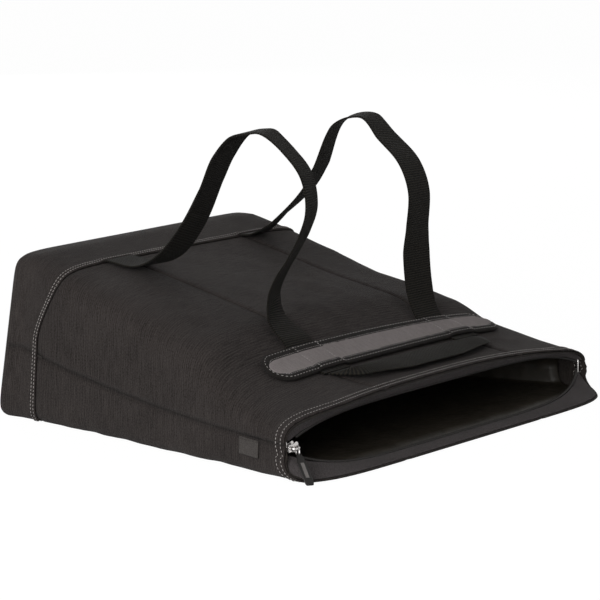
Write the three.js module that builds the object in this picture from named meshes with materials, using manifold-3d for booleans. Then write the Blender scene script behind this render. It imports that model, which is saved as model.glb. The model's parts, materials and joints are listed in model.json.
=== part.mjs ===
// Insulated cooler tote that lies flat on its back panel, with its zipped mouth held open.
// Millimetres. X runs across the bag, +Y towards the boxed base, -Y towards the mouth, +Z up.
// The origin is the middle of the back panel's flat face, on the floor.
import * as THREE from "three";
import { mergeVertices } from "three/addons/utils/BufferGeometryUtils.js";
import Module from "manifold-3d";

const wasm = await Module();
wasm.setup();

// Bag outline
const baseHalfWidth = 174; // half width at the boxed base
const mouthHalfWidth = 241; // half width of the flattened mouth
const baseHeight = 154; // depth of the boxed base, which stands up as height here
const mouthHeight = 62; // how far the front lip is held up over the floor
const baseSeamHeight = 68; // side seam over the floor, at the base
const mouthSeamHeight = 31; // side seam over the floor, at the mouth
const baseEndY = 195; // outer face of the base end, at the floor
const sideLipY = -181; // mouth edge at the side seams
const frontLipReach = 12; // how far the front lip runs past the side lip
const backLipReach = 35; // how far the back lip runs past the side lip
const endRound = 9; // radius between the walls and the base end
const endLean = 25; // how far the base end leans back at the top
const outlineEndY = -186; // where the mouth's width and height are measured
// Share of the height between mouth and base that the top keeps, at equal steps from base to mouth
const topProfile = [1, 0.958, 0.898, 0.835, 0.773, 0.705, 0.636, 0.563, 0.472, 0.25, 0.097, 0.028, 0];
const farSlump = 0.17; // share of its height by which the far side of the top sags, part way along
const slumpFrom = -0.2; // share of the half width from which it sags
const slumpStart = [0.1, 0.5]; // shares of the length over which that sag comes in
const slumpEnd = [0.72, 0.86]; // and over which it goes again, towards the pad
const baseCorner = 15; // superellipse exponents: boxy at the base, softer at the mouth
const mouthCorner = 2.8;
const farMouthCorner = 1.9; // the far shoulder falls away more softly towards the mouth
const baseFloorCorner = 11; // and along the underside, from base to mouth
const mouthFloorCorner = 9;
const widenPower = 1.25; // how late the width and the side seam's height change along the bag
const seamPower = 2.1;
const cornerPower = 0.6;
const lipSidePower = 8; // how squarely the back lip turns up to the side seams
const floorPress = 3.5; // depth of the underside that the floor presses flat

// Boot, the second cover over the base
const bootSeamTopY = 106; // where the boot ends across the top
const bootSeamSideY = 145; // where it ends down the sides and under the floor
const bootCurveLow = 75; // heights between which its edge sweeps from side to top
const bootCurveHigh = 150;
const pipingWidth = 6;

// Layers, from the outside in
const fabric = 1.2;
const foam = 4;
const liner = 0.8;
const board = 1.5;
const facing = 0.8;
const pipingThickness = 1.2;
const gap = 0.3; // clearance between layers and across seams
const bedding = 0.9; // clearance under the pieces sewn on top, over the panel's facets
const hemLength = 26; // how far the foam stays back from the lips, which is as far as the facing reaches

// Webbing, pad and grab handle
const webbingWidth = 38;
const webbing = 1.6;
const strapX = 102; // centre line of each carry strap
const baseSeamX = 86; // lengthwise panel seams, at the base and at the mouth
const mouthSeamX = 108;
const padHalfWidth = 169;
const padBackY = -101;
const padFrontY = -130;
const padThickness = 2.2;
const padCrown = 1.2; // how far the pad stands over its binding
const bindingWidth = 3.5;
const legHeight = 45; // height above the anchors up to which a strap's legs bend
const strapLift = 2.05; // webbing centre above the panel where a strap leaves it

// Carry strap routes: share of the way from the base anchor to the pad, height above that line, and
// degrees by which the webbing is turned about the vertical, away from square across the bag
const leftRoute = [
  [0, 0, 0], [0.164, 7.4, -5], [0.284, 24.7, -6], [0.416, 62.2, 0], [0.519, 105.3, 8], [0.589, 136.7, 5],
  [0.68, 161.8, 8], [0.76, 170.8, 15], [0.829, 174.4, 24], [0.94, 167, 24], [1.034, 151.9, 22],
  [1.061, 126.2, 21], [1.024, 101.5, 22], [0.965, 78, 23], [0.901, 55.3, 21], [0.86, 33.3, 21],
  [0.874, 16, 16], [0.925, 8.6, 8], [0.975, 4.4, 2], [1, 0, 0],
];
const rightRoute = [
  [0, 0, 0], [0.036, 4.1, 8], [0.144, 25.7, 24], [0.315, 67.2, 17], [0.384, 93.2, 14], [0.49, 142.4, 20],
  [0.655, 161.4, 17], [0.76, 150.5, 8], [0.879, 136.8, 6], [0.935, 114.2, 5], [0.928, 79.2, 3],
  [0.924, 56.4, -4], [0.942, 23.6, -4], [0.966, 9, 0], [0.985, 3.2, 0], [1, 0, 0],
];
const webbingMargin = 2; // how far the pad's raised underside runs past the webbing
const handleLead = 4; // flat webbing ahead of the pad, before the grab handle starts to lift
// Grab handle route from its end to the middle: across, ahead of the pad, above the panel, width
const handleHalfRoute = [
  [1, 5.8, 1.7, 32], [1, 10, 2.6, 25], [0.985, 16, 4.2, 20], [0.94, 21, 5.4, 18],
  [0.863, 23, 6, 18], [0.7, 24.5, 6, 22], [0.4, 26, 5.2, 30],
];

// Zipper
const tape = 0.8;
const coilRadius = 1.5;
const coilY = -178; // front coil, and both coils at their ends
const backCoilY = -198; // back coil at the middle
const frontCoilHeight = 48;
const backCoilHeight = 4.8;
const coilMeetHeight = 27; // where the two coils come together at either end
const coilMeetGap = 4.4; // half the distance between the coil centres there
const coilReach = 229; // half the length of each coil
const frontPullPower = 5; // how late each coil turns in towards the other, along its half
const backPullPower = 6;
const tapeReach = 233; // half the length of each tape
const sliderLength = 14;
const sliderHeight = 10;
const sliderTail = 7;
const sliderPlate = 1;
const sliderGap = 3.6; // inside distance between its plates
const sliderStart = 226; // slider centre from the middle plane, zipper open
const bailLength = 10;
const bailWidth = 2.6;
const bailHeight = 4.8;
const bailWire = 1.3;
const ringWire = 0.7;
const ringHalfWidth = 4;
const ringLength = 9;
const ringCorner = 2.4; // bend radius of the ring's wire
const ringDepth = 3; // how far inside the bail the ring hangs
const pullerLength = 38;
const pullerWidth = 7.4;
const pullerThickness = 2;
const pullerDrop = 28; // degrees by which the puller hangs below level
const pullerHeading = 38; // degrees by which it points away from the mouth's axis, to the near side
const stopLength = 1.6;

// Side tag
const tagLength = 24;
const tagDrop = 15;
const tagCentreY = -138;
const tagThickness = 0.7;

const lerp = THREE.MathUtils.lerp;
const clamp = THREE.MathUtils.clamp;
const smooth = (value, from, to) => THREE.MathUtils.smoothstep(value, from, to);
const bootWallEnd = baseEndY - endRound;
const topCurve = new THREE.SplineCurve(topProfile.map((share, i) => new THREE.Vector2(i, share)));

// Half width, top height, side seam height and panel seams of the bag at a station along it
function outlineAt(y) {
  const t = clamp((baseEndY - endLean - y) / (baseEndY - endLean - outlineEndY), 0, 1);
  return {
    half: lerp(baseHalfWidth, mouthHalfWidth, t ** widenPower),
    top: lerp(mouthHeight, baseHeight, topCurve.getPoint(t).y),
    seam: lerp(mouthSeamHeight, baseSeamHeight, (1 - t) ** seamPower),
    panelSeam: lerp(baseSeamX, mouthSeamX, t),
    corner: lerp(baseCorner, mouthCorner, t ** cornerPower),
    farCorner: lerp(baseCorner, farMouthCorner, t ** cornerPower),
    floorCorner: lerp(baseFloorCorner, mouthFloorCorner, t),
    slump: farSlump * smooth(t, ...slumpStart) * (1 - smooth(t, ...slumpEnd)),
  };
}
const topCorner = (x, o) => (x < 0 ? o.corner : o.farCorner);
const topRise = (x, o) => (o.top - o.seam) * (1 - o.slump * smooth(x, slumpFrom * o.half, o.half));

// Half of a section, above or below the side seam, as dense points with outward normals.
// Its measure counts length and turning, so that corners get more faces than flats.
const sectionSteps = 180;
const turnLength = 60; // millimetres that a radian of turning counts as
const sections = new Map();
function halfSection(upper, y) {
  const key = upper + ":" + y.toFixed(4);
  if (sections.has(key)) return sections.get(key);
  const o = outlineAt(y);
  const points = [];
  for (let i = 0; i <= sectionSteps; i++) {
    const angle = Math.PI * (1 - i / sectionSteps);
    const n = upper ? topCorner(Math.cos(angle), o) : o.floorCorner;
    const c = Math.abs(Math.cos(angle));
    const s = Math.abs(Math.sin(angle));
    const r = (c ** n + s ** n) ** (-1 / n);
    const x = Math.cos(angle) * r * o.half;
    const rise = upper ? topRise(x, o) : -o.seam - floorPress;
    points.push(new THREE.Vector2(x, Math.max(o.seam + rise * r * s, 0)));
  }
  const normals = points.map((p, i) => {
    if (i === 0) return new THREE.Vector2(-1, 0);
    if (i === sectionSteps) return new THREE.Vector2(1, 0);
    const along = points[i + 1].clone().sub(points[i - 1]).normalize();
    return upper ? new THREE.Vector2(-along.y, along.x) : new THREE.Vector2(along.y, -along.x);
  });
  const measure = [0];
  for (let i = 1; i <= sectionSteps; i++) {
    const turn = Math.acos(clamp(normals[i].dot(normals[i - 1]), -1, 1));
    measure.push(measure[i - 1] + points[i].distanceTo(points[i - 1]) + turnLength * turn);
  }
  const made = { points, normals, measure, total: measure[sectionSteps] };
  sections.set(key, made);
  return made;
}

// Share of the measure at which a half section reaches a given x, or a given height on one side
function shareAtX(upper, y, x) {
  const h = halfSection(upper, y);
  const i = clamp(h.points.findIndex((p) => p.x >= x), 1, sectionSteps);
  const f = clamp((x - h.points[i - 1].x) / (h.points[i].x - h.points[i - 1].x), 0, 1);
  return lerp(h.measure[i - 1], h.measure[i], f) / h.total;
}
function shareAtHeight(upper, y, z) {
  const h = halfSection(upper, y);
  const past = (p) => (upper ? p.y >= z : p.y <= z);
  const i = Math.max(h.points.findIndex(past), 1);
  const f = clamp((z - h.points[i - 1].y) / (h.points[i].y - h.points[i - 1].y), 0, 1);
  return lerp(h.measure[i - 1], h.measure[i], f) / h.total;
}

// The base end leans back: it is pushed towards the mouth with height
const leanAt = (y, z) => (endLean * z * smooth(y, bootSeamTopY, baseEndY)) / baseHeight;

// Point of the bag's skin on a half section, some depth inside its outer surface
function skinPoint(upper, share, y, depth, lengthwise = y) {
  const h = halfSection(upper, y);
  const want = clamp(share, 0, 1) * h.total;
  let low = 0;
  let high = sectionSteps;
  while (high - low > 1) {
    const middle = (low + high) >> 1;
    if (h.measure[middle] <= want) low = middle;
    else high = middle;
  }
  const f = (want - h.measure[low]) / (h.measure[high] - h.measure[low]);
  const p = h.points[low].clone().lerp(h.points[high], f);
  const n = h.normals[low].clone().lerp(h.normals[high], f).normalize();
  const x = p.x - n.x * depth;
  const z = p.y - n.y * depth;
  return new THREE.Vector3(x, lengthwise - leanAt(lengthwise, z), z);
}

// Where the lips and the boot's edge lie, for a point of the skin
function lipY(upper, p) {
  const fromSide = mouthHalfWidth - Math.abs(p.x);
  if (upper) return sideLipY - frontLipReach * smooth(fromSide, 0, mouthHalfWidth / 3);
  const inward = 1 - Math.min(Math.abs(p.x) / mouthHalfWidth, 1) ** lipSidePower;
  const below = smooth(mouthSeamHeight - p.z, 0, mouthSeamHeight / 2);
  return sideLipY - backLipReach * below * Math.sqrt(inward);
}
const bootEdgeY = (p) =>
  lerp(bootSeamSideY, bootSeamTopY, smooth(p.z, bootCurveLow, bootCurveHigh));

// A closed mesh from points and triangles, turned outwards
function closedGeometry(points, triangles) {
  let volume = 0;
  const side = new THREE.Vector3();
  for (const [a, b, c] of triangles) volume += points[a].dot(side.crossVectors(points[b], points[c]));
  const index = volume < 0 ? triangles.map(([a, b, c]) => [a, c, b]) : triangles;
  const geometry = new THREE.BufferGeometry();
  const places = points.flatMap((p) => p.toArray());
  geometry.setAttribute("position", new THREE.Float32BufferAttribute(places, 3));
  geometry.setIndex(index.flat());
  return geometry;
}

// A thin shell between an outer and an inner grid of points
function shellGeometry(outer, inner) {
  const rows = outer.length;
  const cols = outer[0].length;
  const points = [...outer.flat(), ...inner.flat()];
  const under = rows * cols;
  const triangles = [];
  const quad = (a, b, c, d) => triangles.push([a, b, c], [a, c, d]);
  for (let r = 0; r + 1 < rows; r++)
    for (let c = 0; c + 1 < cols; c++) {
      const a = r * cols + c;
      quad(a, a + 1, a + cols + 1, a + cols);
      quad(under + a, under + a + cols, under + a + cols + 1, under + a + 1);
    }
  for (let c = 0; c + 1 < cols; c++) {
    quad(c + 1, c, under + c, under + c + 1);
    const a = (rows - 1) * cols + c;
    quad(a, a + 1, under + a + 1, under + a);
  }
  for (let r = 0; r + 1 < rows; r++) {
    const a = r * cols;
    quad(a, a + cols, under + a + cols, under + a);
    const b = a + cols - 1;
    quad(b + cols, b, under + b, under + b + cols);
  }
  return closedGeometry(points, triangles);
}

// A solid through cross-sections of equal point count, capped at both ends or closed in a ring
function sweepGeometry(rings, closed = false) {
  const k = rings[0].length;
  const points = rings.flat();
  const triangles = [];
  const last = closed ? rings.length : rings.length - 1;
  for (let r = 0; r < last; r++)
    for (let c = 0; c < k; c++) {
      const a = r * k + c;
      const b = r * k + ((c + 1) % k);
      const next = ((r + 1) % rings.length) * k;
      const d = next + c;
      const e = next + ((c + 1) % k);
      triangles.push([a, b, e], [a, e, d]);
    }
  if (!closed)
    for (let c = 1; c + 1 < k; c++) {
      const end = (rings.length - 1) * k;
      triangles.push([0, c + 1, c], [end, end + c, end + c + 1]);
    }
  return closedGeometry(points, triangles);
}

// A plate between two like outlines, with a fan to the middle on either face
function plateGeometry(front, back) {
  const n = front.length;
  const middle = (ring) => ring.reduce((sum, p) => sum.add(p), new THREE.Vector3()).divideScalar(n);
  const points = [...front, ...back, middle(front), middle(back)];
  const triangles = [];
  for (let i = 0; i < n; i++) {
    const j = (i + 1) % n;
    triangles.push([i, j, n + j], [i, n + j, n + i], [2 * n, j, i], [2 * n + 1, n + i, n + j]);
  }
  return closedGeometry(points, triangles);
}

// Columns round a half section: side panel, middle panel and side panel, split at the panel seams
const sideCols = 7;
const middleCols = 5;
const allCols = 2 * sideCols + middleCols;
function columnShare(upper, column, y) {
  const edge = gap / 2 / halfSection(upper, y).total;
  const seam = outlineAt(y).panelSeam;
  const left = shareAtX(upper, y, -seam);
  const right = shareAtX(upper, y, seam);
  const past = column - sideCols - middleCols;
  if (column <= sideCols) return lerp(edge, left, column / sideCols);
  if (past >= 0) return lerp(right, 1 - edge, past / sideCols);
  return lerp(left, right, (column - sideCols) / middleCols);
}

// Lengthwise stations of a column: the hem, panel rows from there to the boot, boot rows to the base
const panelSteps = [0, 0.06, 0.12, 0.18, 0.245, 0.32, 0.4, 0.5, 0.66, 0.83, 1]; // closest under the pad
const panelRows = panelSteps.length;
const bootRows = 2;
const roundSteps = 3;
const stationLists = new Map();
function stationsOf(upper, column) {
  const key = upper + ":" + column;
  if (stationLists.has(key)) return stationLists.get(key);
  const settle = (limit, guess) => {
    let y = guess;
    for (let k = 0; k < 5; k++) y = limit(skinPoint(upper, columnShare(upper, column, y), y, 0));
    return y;
  };
  const lip = settle((p) => lipY(upper, p), sideLipY);
  const edge = settle(bootEdgeY, bootSeamTopY);
  const list = [lip, ...panelSteps.map((share) => lerp(lip + hemLength, edge, share))];
  for (let r = 1; r <= bootRows; r++) list.push(lerp(edge, bootWallEnd, r / bootRows));
  stationLists.set(key, list);
  return list;
}

// Grid of skin points between two columns and along chosen stations, some depth inside the skin.
// Trims move its first and last columns inwards along the section.
function skinGrid({ upper, from, to, stations, depth, trimFrom = 0, trimTo = 0, round = false }) {
  const grid = [];
  for (let column = from; column <= to; column++) {
    const shareAt = (y) => {
      const total = halfSection(upper, y).total;
      const trim = column === from ? trimFrom : column === to ? -trimTo : 0;
      return columnShare(upper, column, y) + trim / total;
    };
    const line = stations(stationsOf(upper, column)).map((y) => skinPoint(upper, shareAt(y), y, depth));
    for (let r = 1; r <= (round ? roundSteps : 0); r++) {
      const angle = ((Math.PI / 2) * r) / roundSteps;
      const inset = depth + (endRound - depth) * (1 - Math.cos(angle));
      const y = bootWallEnd + (endRound - depth) * Math.sin(angle);
      line.push(skinPoint(upper, shareAt(bootWallEnd), bootWallEnd, inset, y));
    }
    grid.push(line);
  }
  return grid;
}
const skinShell = (options, depth, thickness) =>
  shellGeometry(skinGrid({ ...options, depth }), skinGrid({ ...options, depth: depth + thickness }));

const group = new THREE.Group();
function addPiece(name, geometry, color, roughness = 0.9, metalness = 0) {
  const mesh = new THREE.Mesh(geometry, new THREE.MeshStandardMaterial({ color, roughness, metalness }));
  mesh.name = name;
  group.add(mesh);
  return mesh;
}

const charcoal = 0x37322f;
const black = 0x1c1a17;
const grey = 0x64605f;
const innerGrey = 0x2d2b29;

// Six body panels: left, middle and right on the front and on the back
const panelStations = (list) => [...list.slice(0, panelRows), list[panelRows] - gap];
for (const [side, upper] of [["front", true], ["back", false]]) {
  const panel = (from, to, trimFrom, trimTo) =>
    skinShell({ upper, from, to, trimFrom, trimTo, stations: panelStations }, 0, fabric);
  const rightFrom = sideCols + middleCols;
  addPiece(side + "_left_panel", panel(0, sideCols, 0, gap / 2), charcoal);
  addPiece(side + "_center_panel", panel(sideCols, rightFrom, gap / 2, gap / 2), charcoal);
  addPiece(side + "_right_panel", panel(rightFrom, allCols, gap / 2, 0), charcoal);
}

// Boot over the base, in two halves that meet at the side seams, and its end panel
const wholeWall = (upper) => ({ upper, from: 0, to: allCols });
for (const [name, upper] of [["boot_front", true], ["boot_back", false]]) {
  const cover = { ...wholeWall(upper), stations: (list) => list.slice(panelRows), round: true };
  addPiece(name, skinShell(cover, 0, fabric), charcoal);
}

// A flat plate inside the base end, as far in as its own depth says
function endPlate(depth, thickness) {
  const outline = (y) => {
    const inset = endRound + gap;
    const at = (upper, c) => skinPoint(upper, columnShare(upper, c, bootWallEnd), bootWallEnd, inset, y);
    const ring = [];
    for (let c = 0; c <= allCols; c++) ring.push(at(true, c));
    for (let c = allCols; c >= 0; c--) ring.push(at(false, c));
    return ring;
  };
  return plateGeometry(outline(baseEndY - depth), outline(baseEndY - depth - thickness));
}
const foamDepth = fabric + gap;
const linerDepth = foamDepth + foam + gap;
addPiece("boot_end", endPlate(0, fabric), charcoal);
addPiece("base_foam", endPlate(foamDepth, foam), 0xc9c5bd);
addPiece("base_board", endPlate(linerDepth, board), 0x2a2a2a, 0.6);
addPiece("base_liner", endPlate(linerDepth + board + gap, liner), innerGrey, 0.5);

// Raised edge of the boot, top-stitched along it and down the sides to the floor's edge
const pipingStations = (list) => [list[panelRows] - gap / 2, list[panelRows] + pipingWidth];
const outside = -gap - pipingThickness;
const sideEnd = floorEdgeColumn();
const overTop = { ...wholeWall(true), stations: pipingStations };
const nearLow = { upper: false, from: 0, to: sideEnd, stations: pipingStations };
const farLow = { upper: false, from: allCols - sideEnd, to: allCols, stations: pipingStations };
addPiece("boot_piping_front", skinShell(overTop, outside, pipingThickness), black);
addPiece("boot_piping_left", skinShell(nearLow, outside, pipingThickness), black);
addPiece("boot_piping_right", skinShell(farLow, outside, pipingThickness), black);

// Last column at which the piping on the underside still clears the floor
function floorEdgeColumn() {
  const clear = (c) => {
    const y = stationsOf(false, c)[panelRows];
    return skinPoint(false, columnShare(false, c, y), y, outside).z > gap;
  };
  let column = 1;
  while (column + 1 < sideCols && clear(column + 1)) column++;
  return column;
}

// Insulation and lining, each in a front, a back and a base piece, and the facings inside the hem
for (const [side, upper] of [["front", true], ["back", false]]) {
  const inner = { ...wholeWall(upper), stations: (list) => list.slice(1), round: true };
  addPiece(side + "_foam", skinShell(inner, foamDepth, foam), 0xc9c5bd);
  addPiece(side + "_liner", skinShell(inner, linerDepth, liner), innerGrey, 0.5);
  const hem = { ...wholeWall(upper), stations: (list) => [list[0] + gap, list[1] - 3 * gap] };
  addPiece("mouth_facing_" + side, skinShell(hem, foamDepth, facing), charcoal);
}

// Front panel surface: height and outward normal over a point of the floor plan
function topPoint(x, y, above) {
  const height = (px, py) => {
    const o = outlineAt(py);
    const share = Math.min(Math.abs(px) / o.half, 1);
    const n = topCorner(px, o);
    return o.seam + topRise(px, o) * (1 - share ** n) ** (1 / n);
  };
  const step = 0.5;
  const slopeX = (height(x + step, y) - height(x - step, y)) / (2 * step);
  const slopeY = (height(x, y + step) - height(x, y - step)) / (2 * step);
  const normal = new THREE.Vector3(-slopeX, -slopeY, 1).normalize();
  return new THREE.Vector3(x, y, height(x, y)).addScaledVector(normal, above);
}

// Pad with round ends. Its underside is raised where the webbing runs beneath it.
const runTop = bedding + webbing + gap;
const raisedHalfWidth = webbingWidth / 2 + webbingMargin;
const overWebbing = (x) => Math.abs(Math.abs(x) - strapX) < raisedHalfWidth;
const padUnder = (x) => (overWebbing(x) ? runTop : bedding);
const padTop = runTop + padThickness;
const padMiddleY = (padBackY + padFrontY) / 2;
const padHalfDepth = (padBackY - padFrontY) / 2;
const padStraight = padHalfWidth - padHalfDepth;
const webbingEdges = [strapX - raisedHalfWidth, strapX + raisedHalfWidth];
function padXs() {
  const xs = [0, 0.3 * strapX, strapX];
  for (const edge of webbingEdges) xs.push(edge - gap, edge + gap);
  for (let k = 1; k <= 5; k++) xs.push(padStraight + padHalfDepth * Math.sin((k / 5) * 1.45));
  const right = xs.sort((a, b) => a - b);
  return [...right.slice(1).reverse().map((x) => -x), ...right];
}
function padHalfDepthAt(x) {
  const past = Math.max(Math.abs(x) - padStraight, 0);
  return Math.sqrt(Math.max(padHalfDepth ** 2 - past ** 2, 1));
}
const padAcross = [-1, -0.86, 0, 0.86, 1];
function padSurface(above) {
  const at = (x, v) => topPoint(x, padMiddleY + v * padHalfDepthAt(x), above(x, v));
  return padXs().map((x) => padAcross.map((v) => at(x, v)));
}
const padCrownAt = (x, v) => padTop + padCrown * (Math.abs(v) < 1 ? 1 : 0);
addPiece("pad", shellGeometry(padSurface(padCrownAt), padSurface(padUnder)), grey);

// Binding round the pad, a closed ring whose underside clears the webbing too
function bindingRing() {
  const rings = [];
  const inner = padHalfDepth + gap;
  const outer = inner + bindingWidth;
  const section = (x, y, dx, dy) => {
    const at = (r, h) => {
      const px = x + dx * r;
      return topPoint(px, y + dy * r, h(px));
    };
    const over = () => padTop;
    return [at(inner, padUnder), at(inner, over), at(outer, over), at(outer, padUnder)];
  };
  const straight = padXs().filter((x) => Math.abs(x) <= padStraight);
  for (const x of straight) rings.push(section(x, padMiddleY, 0, 1));
  for (let k = 0; k <= 10; k++) {
    const a = Math.PI / 2 - (Math.PI * k) / 10;
    rings.push(section(padStraight, padMiddleY, Math.cos(a), Math.sin(a)));
  }
  for (const x of [...straight].reverse()) rings.push(section(x, padMiddleY, 0, -1));
  for (let k = 0; k <= 10; k++) {
    const a = -Math.PI / 2 - (Math.PI * k) / 10;
    rings.push(section(-padStraight, padMiddleY, Math.cos(a), Math.sin(a)));
  }
  return sweepGeometry(rings, true);
}
addPiece("pad_binding", bindingRing(), black);

// Webbing that runs beneath the pad, and the carry straps that rise from it and from the boot seam
const bindingBackY = padBackY + gap + bindingWidth;
const bindingFrontY = padFrontY - gap - bindingWidth;
const rearAnchorY = bootSeamTopY - 1;
const frontAnchorY = bindingBackY + 2 * gap;
function webbingRun(x) {
  const across = [-0.5, -0.25, 0, 0.25, 0.5];
  const along = [0, 0.25, 0.5, 0.75, 1];
  const frontEnd = bindingFrontY - handleLead;
  const surface = (above) =>
    across.map((w) =>
      along.map((v) => topPoint(x + webbingWidth * w, lerp(frontEnd, bindingBackY, v), above)),
    );
  return shellGeometry(surface(bedding + webbing), surface(bedding));
}

// A flat strap along stations of { point, along, turn }, in a lengthwise plane. Its width runs
// across the bag, turned about the vertical by the turn in degrees.
function flatStrap(stations) {
  const rings = stations.map(({ point, along, turn }) => {
    const angle = THREE.MathUtils.degToRad(turn);
    const across = new THREE.Vector3(Math.cos(angle), Math.sin(angle), 0);
    across.addScaledVector(along, -across.dot(along)).normalize();
    const side = across.clone().cross(along).multiplyScalar(webbing / 2);
    const corner = (w, face) =>
      point.clone().addScaledVector(across, (w * webbingWidth) / 2).addScaledVector(side, face);
    return [corner(-1, -1), corner(1, -1), corner(1, 1), corner(-1, 1)];
  });
  return sweepGeometry(rings);
}

// A strap's centre line and turn, by share of its length
function strapCurve(x, route) {
  const rear = topPoint(x, rearAnchorY, strapLift);
  const front = topPoint(x, frontAnchorY, strapLift);
  const points = route.map(([share, above]) => {
    const p = rear.clone().lerp(front, share);
    return new THREE.Vector3(x, p.y, p.z + above);
  });
  const curve = new THREE.CatmullRomCurve3(points, false, "centripetal");
  const above = (p) => p.z - lerp(rear.z, front.z, (rear.y - p.y) / (rear.y - front.y));
  const panelLine = front.clone().sub(rear).normalize();
  const station = (share) => {
    const anchored = share === 0 || share === 1;
    const t = curve.getUtoTmapping(share) * (route.length - 1);
    const k = Math.min(Math.floor(t), route.length - 2);
    const along = anchored ? panelLine : curve.getTangentAt(share);
    return { point: curve.getPointAt(share), along, turn: lerp(route[k][2], route[k + 1][2], t - k) };
  };
  return { curve, above, station };
}

const legSteps = 7;
const loopSteps = 26;
// Splits a strap's route where it rises past the leg height: rear leg, loop and front leg
function addStrap(side, x, route) {
  const { curve, above, station } = strapCurve(x, route);
  const steps = 400;
  const dense = curve.getSpacedPoints(steps);
  const rise = dense.findIndex((p) => above(p) > legHeight);
  const fall = steps - [...dense].reverse().findIndex((p) => above(p) > legHeight);
  const length = curve.getLength();
  const piece = (from, to, count) => {
    const stations = [];
    for (let i = 0; i <= count; i++) stations.push(station(lerp(from, to, i / count)));
    return flatStrap(stations);
  };
  const split = gap / 2 / length;
  const up = rise / steps;
  const down = fall / steps;
  addPiece(side + "_strap", piece(up + split, down - split, loopSteps), black);
  addPiece(side + "_strap_rear_leg", piece(0, up - split, legSteps), black);
  addPiece(side + "_strap_front_leg", piece(down + split, 1, legSteps), black);
  addPiece(side + "_webbing_run", webbingRun(x), black);
}
addStrap("left", -strapX, leftRoute);
addStrap("right", strapX, rightRoute);

// Grab handle: the same webbing, drawn in to a grip that lies ahead of the pad
function grabHandle() {
  const half = handleHalfRoute.map(([across, ahead, above, width]) => {
    return { x: -strapX * across, ahead, above, width };
  });
  const middle = { ...half[half.length - 1], x: 0 };
  const route = [...half, middle, ...[...half].reverse().map((p) => ({ ...p, x: -p.x }))];
  const curve = new THREE.CatmullRomCurve3(
    route.map((p) => topPoint(p.x, bindingFrontY - p.ahead, p.above)),
    false,
    "centripetal",
  );
  const last = route.length - 1;
  const count = 32;
  const rings = [];
  for (let i = 0; i <= count; i++) {
    const u = i / count;
    const p = curve.getPoint(u);
    const along = i === 0 || i === count ? new THREE.Vector3(0, i ? 1 : -1, 0) : curve.getTangent(u);
    const k = Math.min(Math.floor(u * last), last - 1);
    const width = lerp(route[k].width, route[k + 1].width, u * last - k);
    const normal = topPoint(p.x, p.y, 1).sub(topPoint(p.x, p.y, 0));
    const across = along.clone().cross(normal).normalize();
    const face = across.clone().cross(along).normalize().multiplyScalar(webbing / 2);
    const corner = (w, f) => p.clone().addScaledVector(across, (w * width) / 2).addScaledVector(face, f);
    rings.push([corner(-1, -1), corner(1, -1), corner(1, 1), corner(-1, 1)]);
  }
  return sweepGeometry(rings);
}
addPiece("grab_handle", grabHandle(), black);

// Zipper coils: each runs along its lip and meets the other at both ends
const endPull = (x, power) => (Math.abs(x) / coilReach) ** power;
function coilPoint(front, x) {
  const pull = endPull(x, front ? frontPullPower : backPullPower);
  const meet = coilMeetHeight + (front ? coilMeetGap : -coilMeetGap);
  const z = lerp(front ? frontCoilHeight : backCoilHeight, meet, pull);
  const y = front ? coilY : lerp(backCoilY, coilY, Math.min(pull, 1));
  return new THREE.Vector3(x, y, z);
}
const coilAlong = (front, x) => coilPoint(front, x + 0.5).sub(coilPoint(front, x - 0.5)).normalize();

// Zipper tapes: from inside the facing at the lip to the edge of the coil. Both edges are spaced
// alike along their length, so the tape gathers evenly into its two ends, where it stands upright.
const tapeDepth = foamDepth + facing + gap;
const tapeInset = 1; // how far behind the lip's edge the tape is sewn
const tapeFrom = 1; // columns by which it stays short of the side seams
const upright = sliderStart - 2 * sliderLength; // how far out it starts to stand upright
const uprightAt = (x) => smooth(Math.abs(x), upright, upright + sliderLength);
function sewnEdge(front, depth) {
  const edge = [];
  for (let column = tapeFrom; column <= allCols - tapeFrom; column++) {
    const y = stationsOf(front, column)[0] + tapeInset;
    edge.push(skinPoint(front, columnShare(front, column, y), y, depth));
  }
  return edge;
}
function coilStations(front) {
  const lip = sewnEdge(front, tapeDepth);
  const run = [0];
  for (let i = 1; i < lip.length; i++) run.push(run[i - 1] + lip[i].distanceTo(lip[i - 1]));
  return run.map((length) => tapeReach * ((2 * length) / run[lip.length - 1] - 1));
}
function zipperTape(front) {
  const lip = sewnEdge(front, tapeDepth);
  const under = sewnEdge(front, tapeDepth + tape);
  const outer = [];
  const inner = [];
  coilStations(front).forEach((x, i) => {
    const coil = coilPoint(front, clamp(x, -coilReach, coilReach));
    coil.x = x;
    const along = coilAlong(front, x);
    const towards = lip[i].clone().sub(coil);
    towards.addScaledVector(along, -towards.dot(along)).normalize();
    towards.lerp(new THREE.Vector3(0, 0, front ? 1 : -1), uprightAt(x)).normalize();
    const edge = coil.clone().addScaledVector(towards, coilRadius + 1.5 * gap);
    const face = along.cross(towards).multiplyScalar(((front ? 1 : -1) * tape) / 2);
    const through = under[i].sub(lip[i]).lerp(face.clone().multiplyScalar(2), uprightAt(x));
    outer.push([lip[i], edge.clone().sub(face)]);
    inner.push([lip[i].clone().add(through.setLength(tape)), edge.clone().add(face)]);
  });
  return shellGeometry(outer, inner);
}

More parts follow.
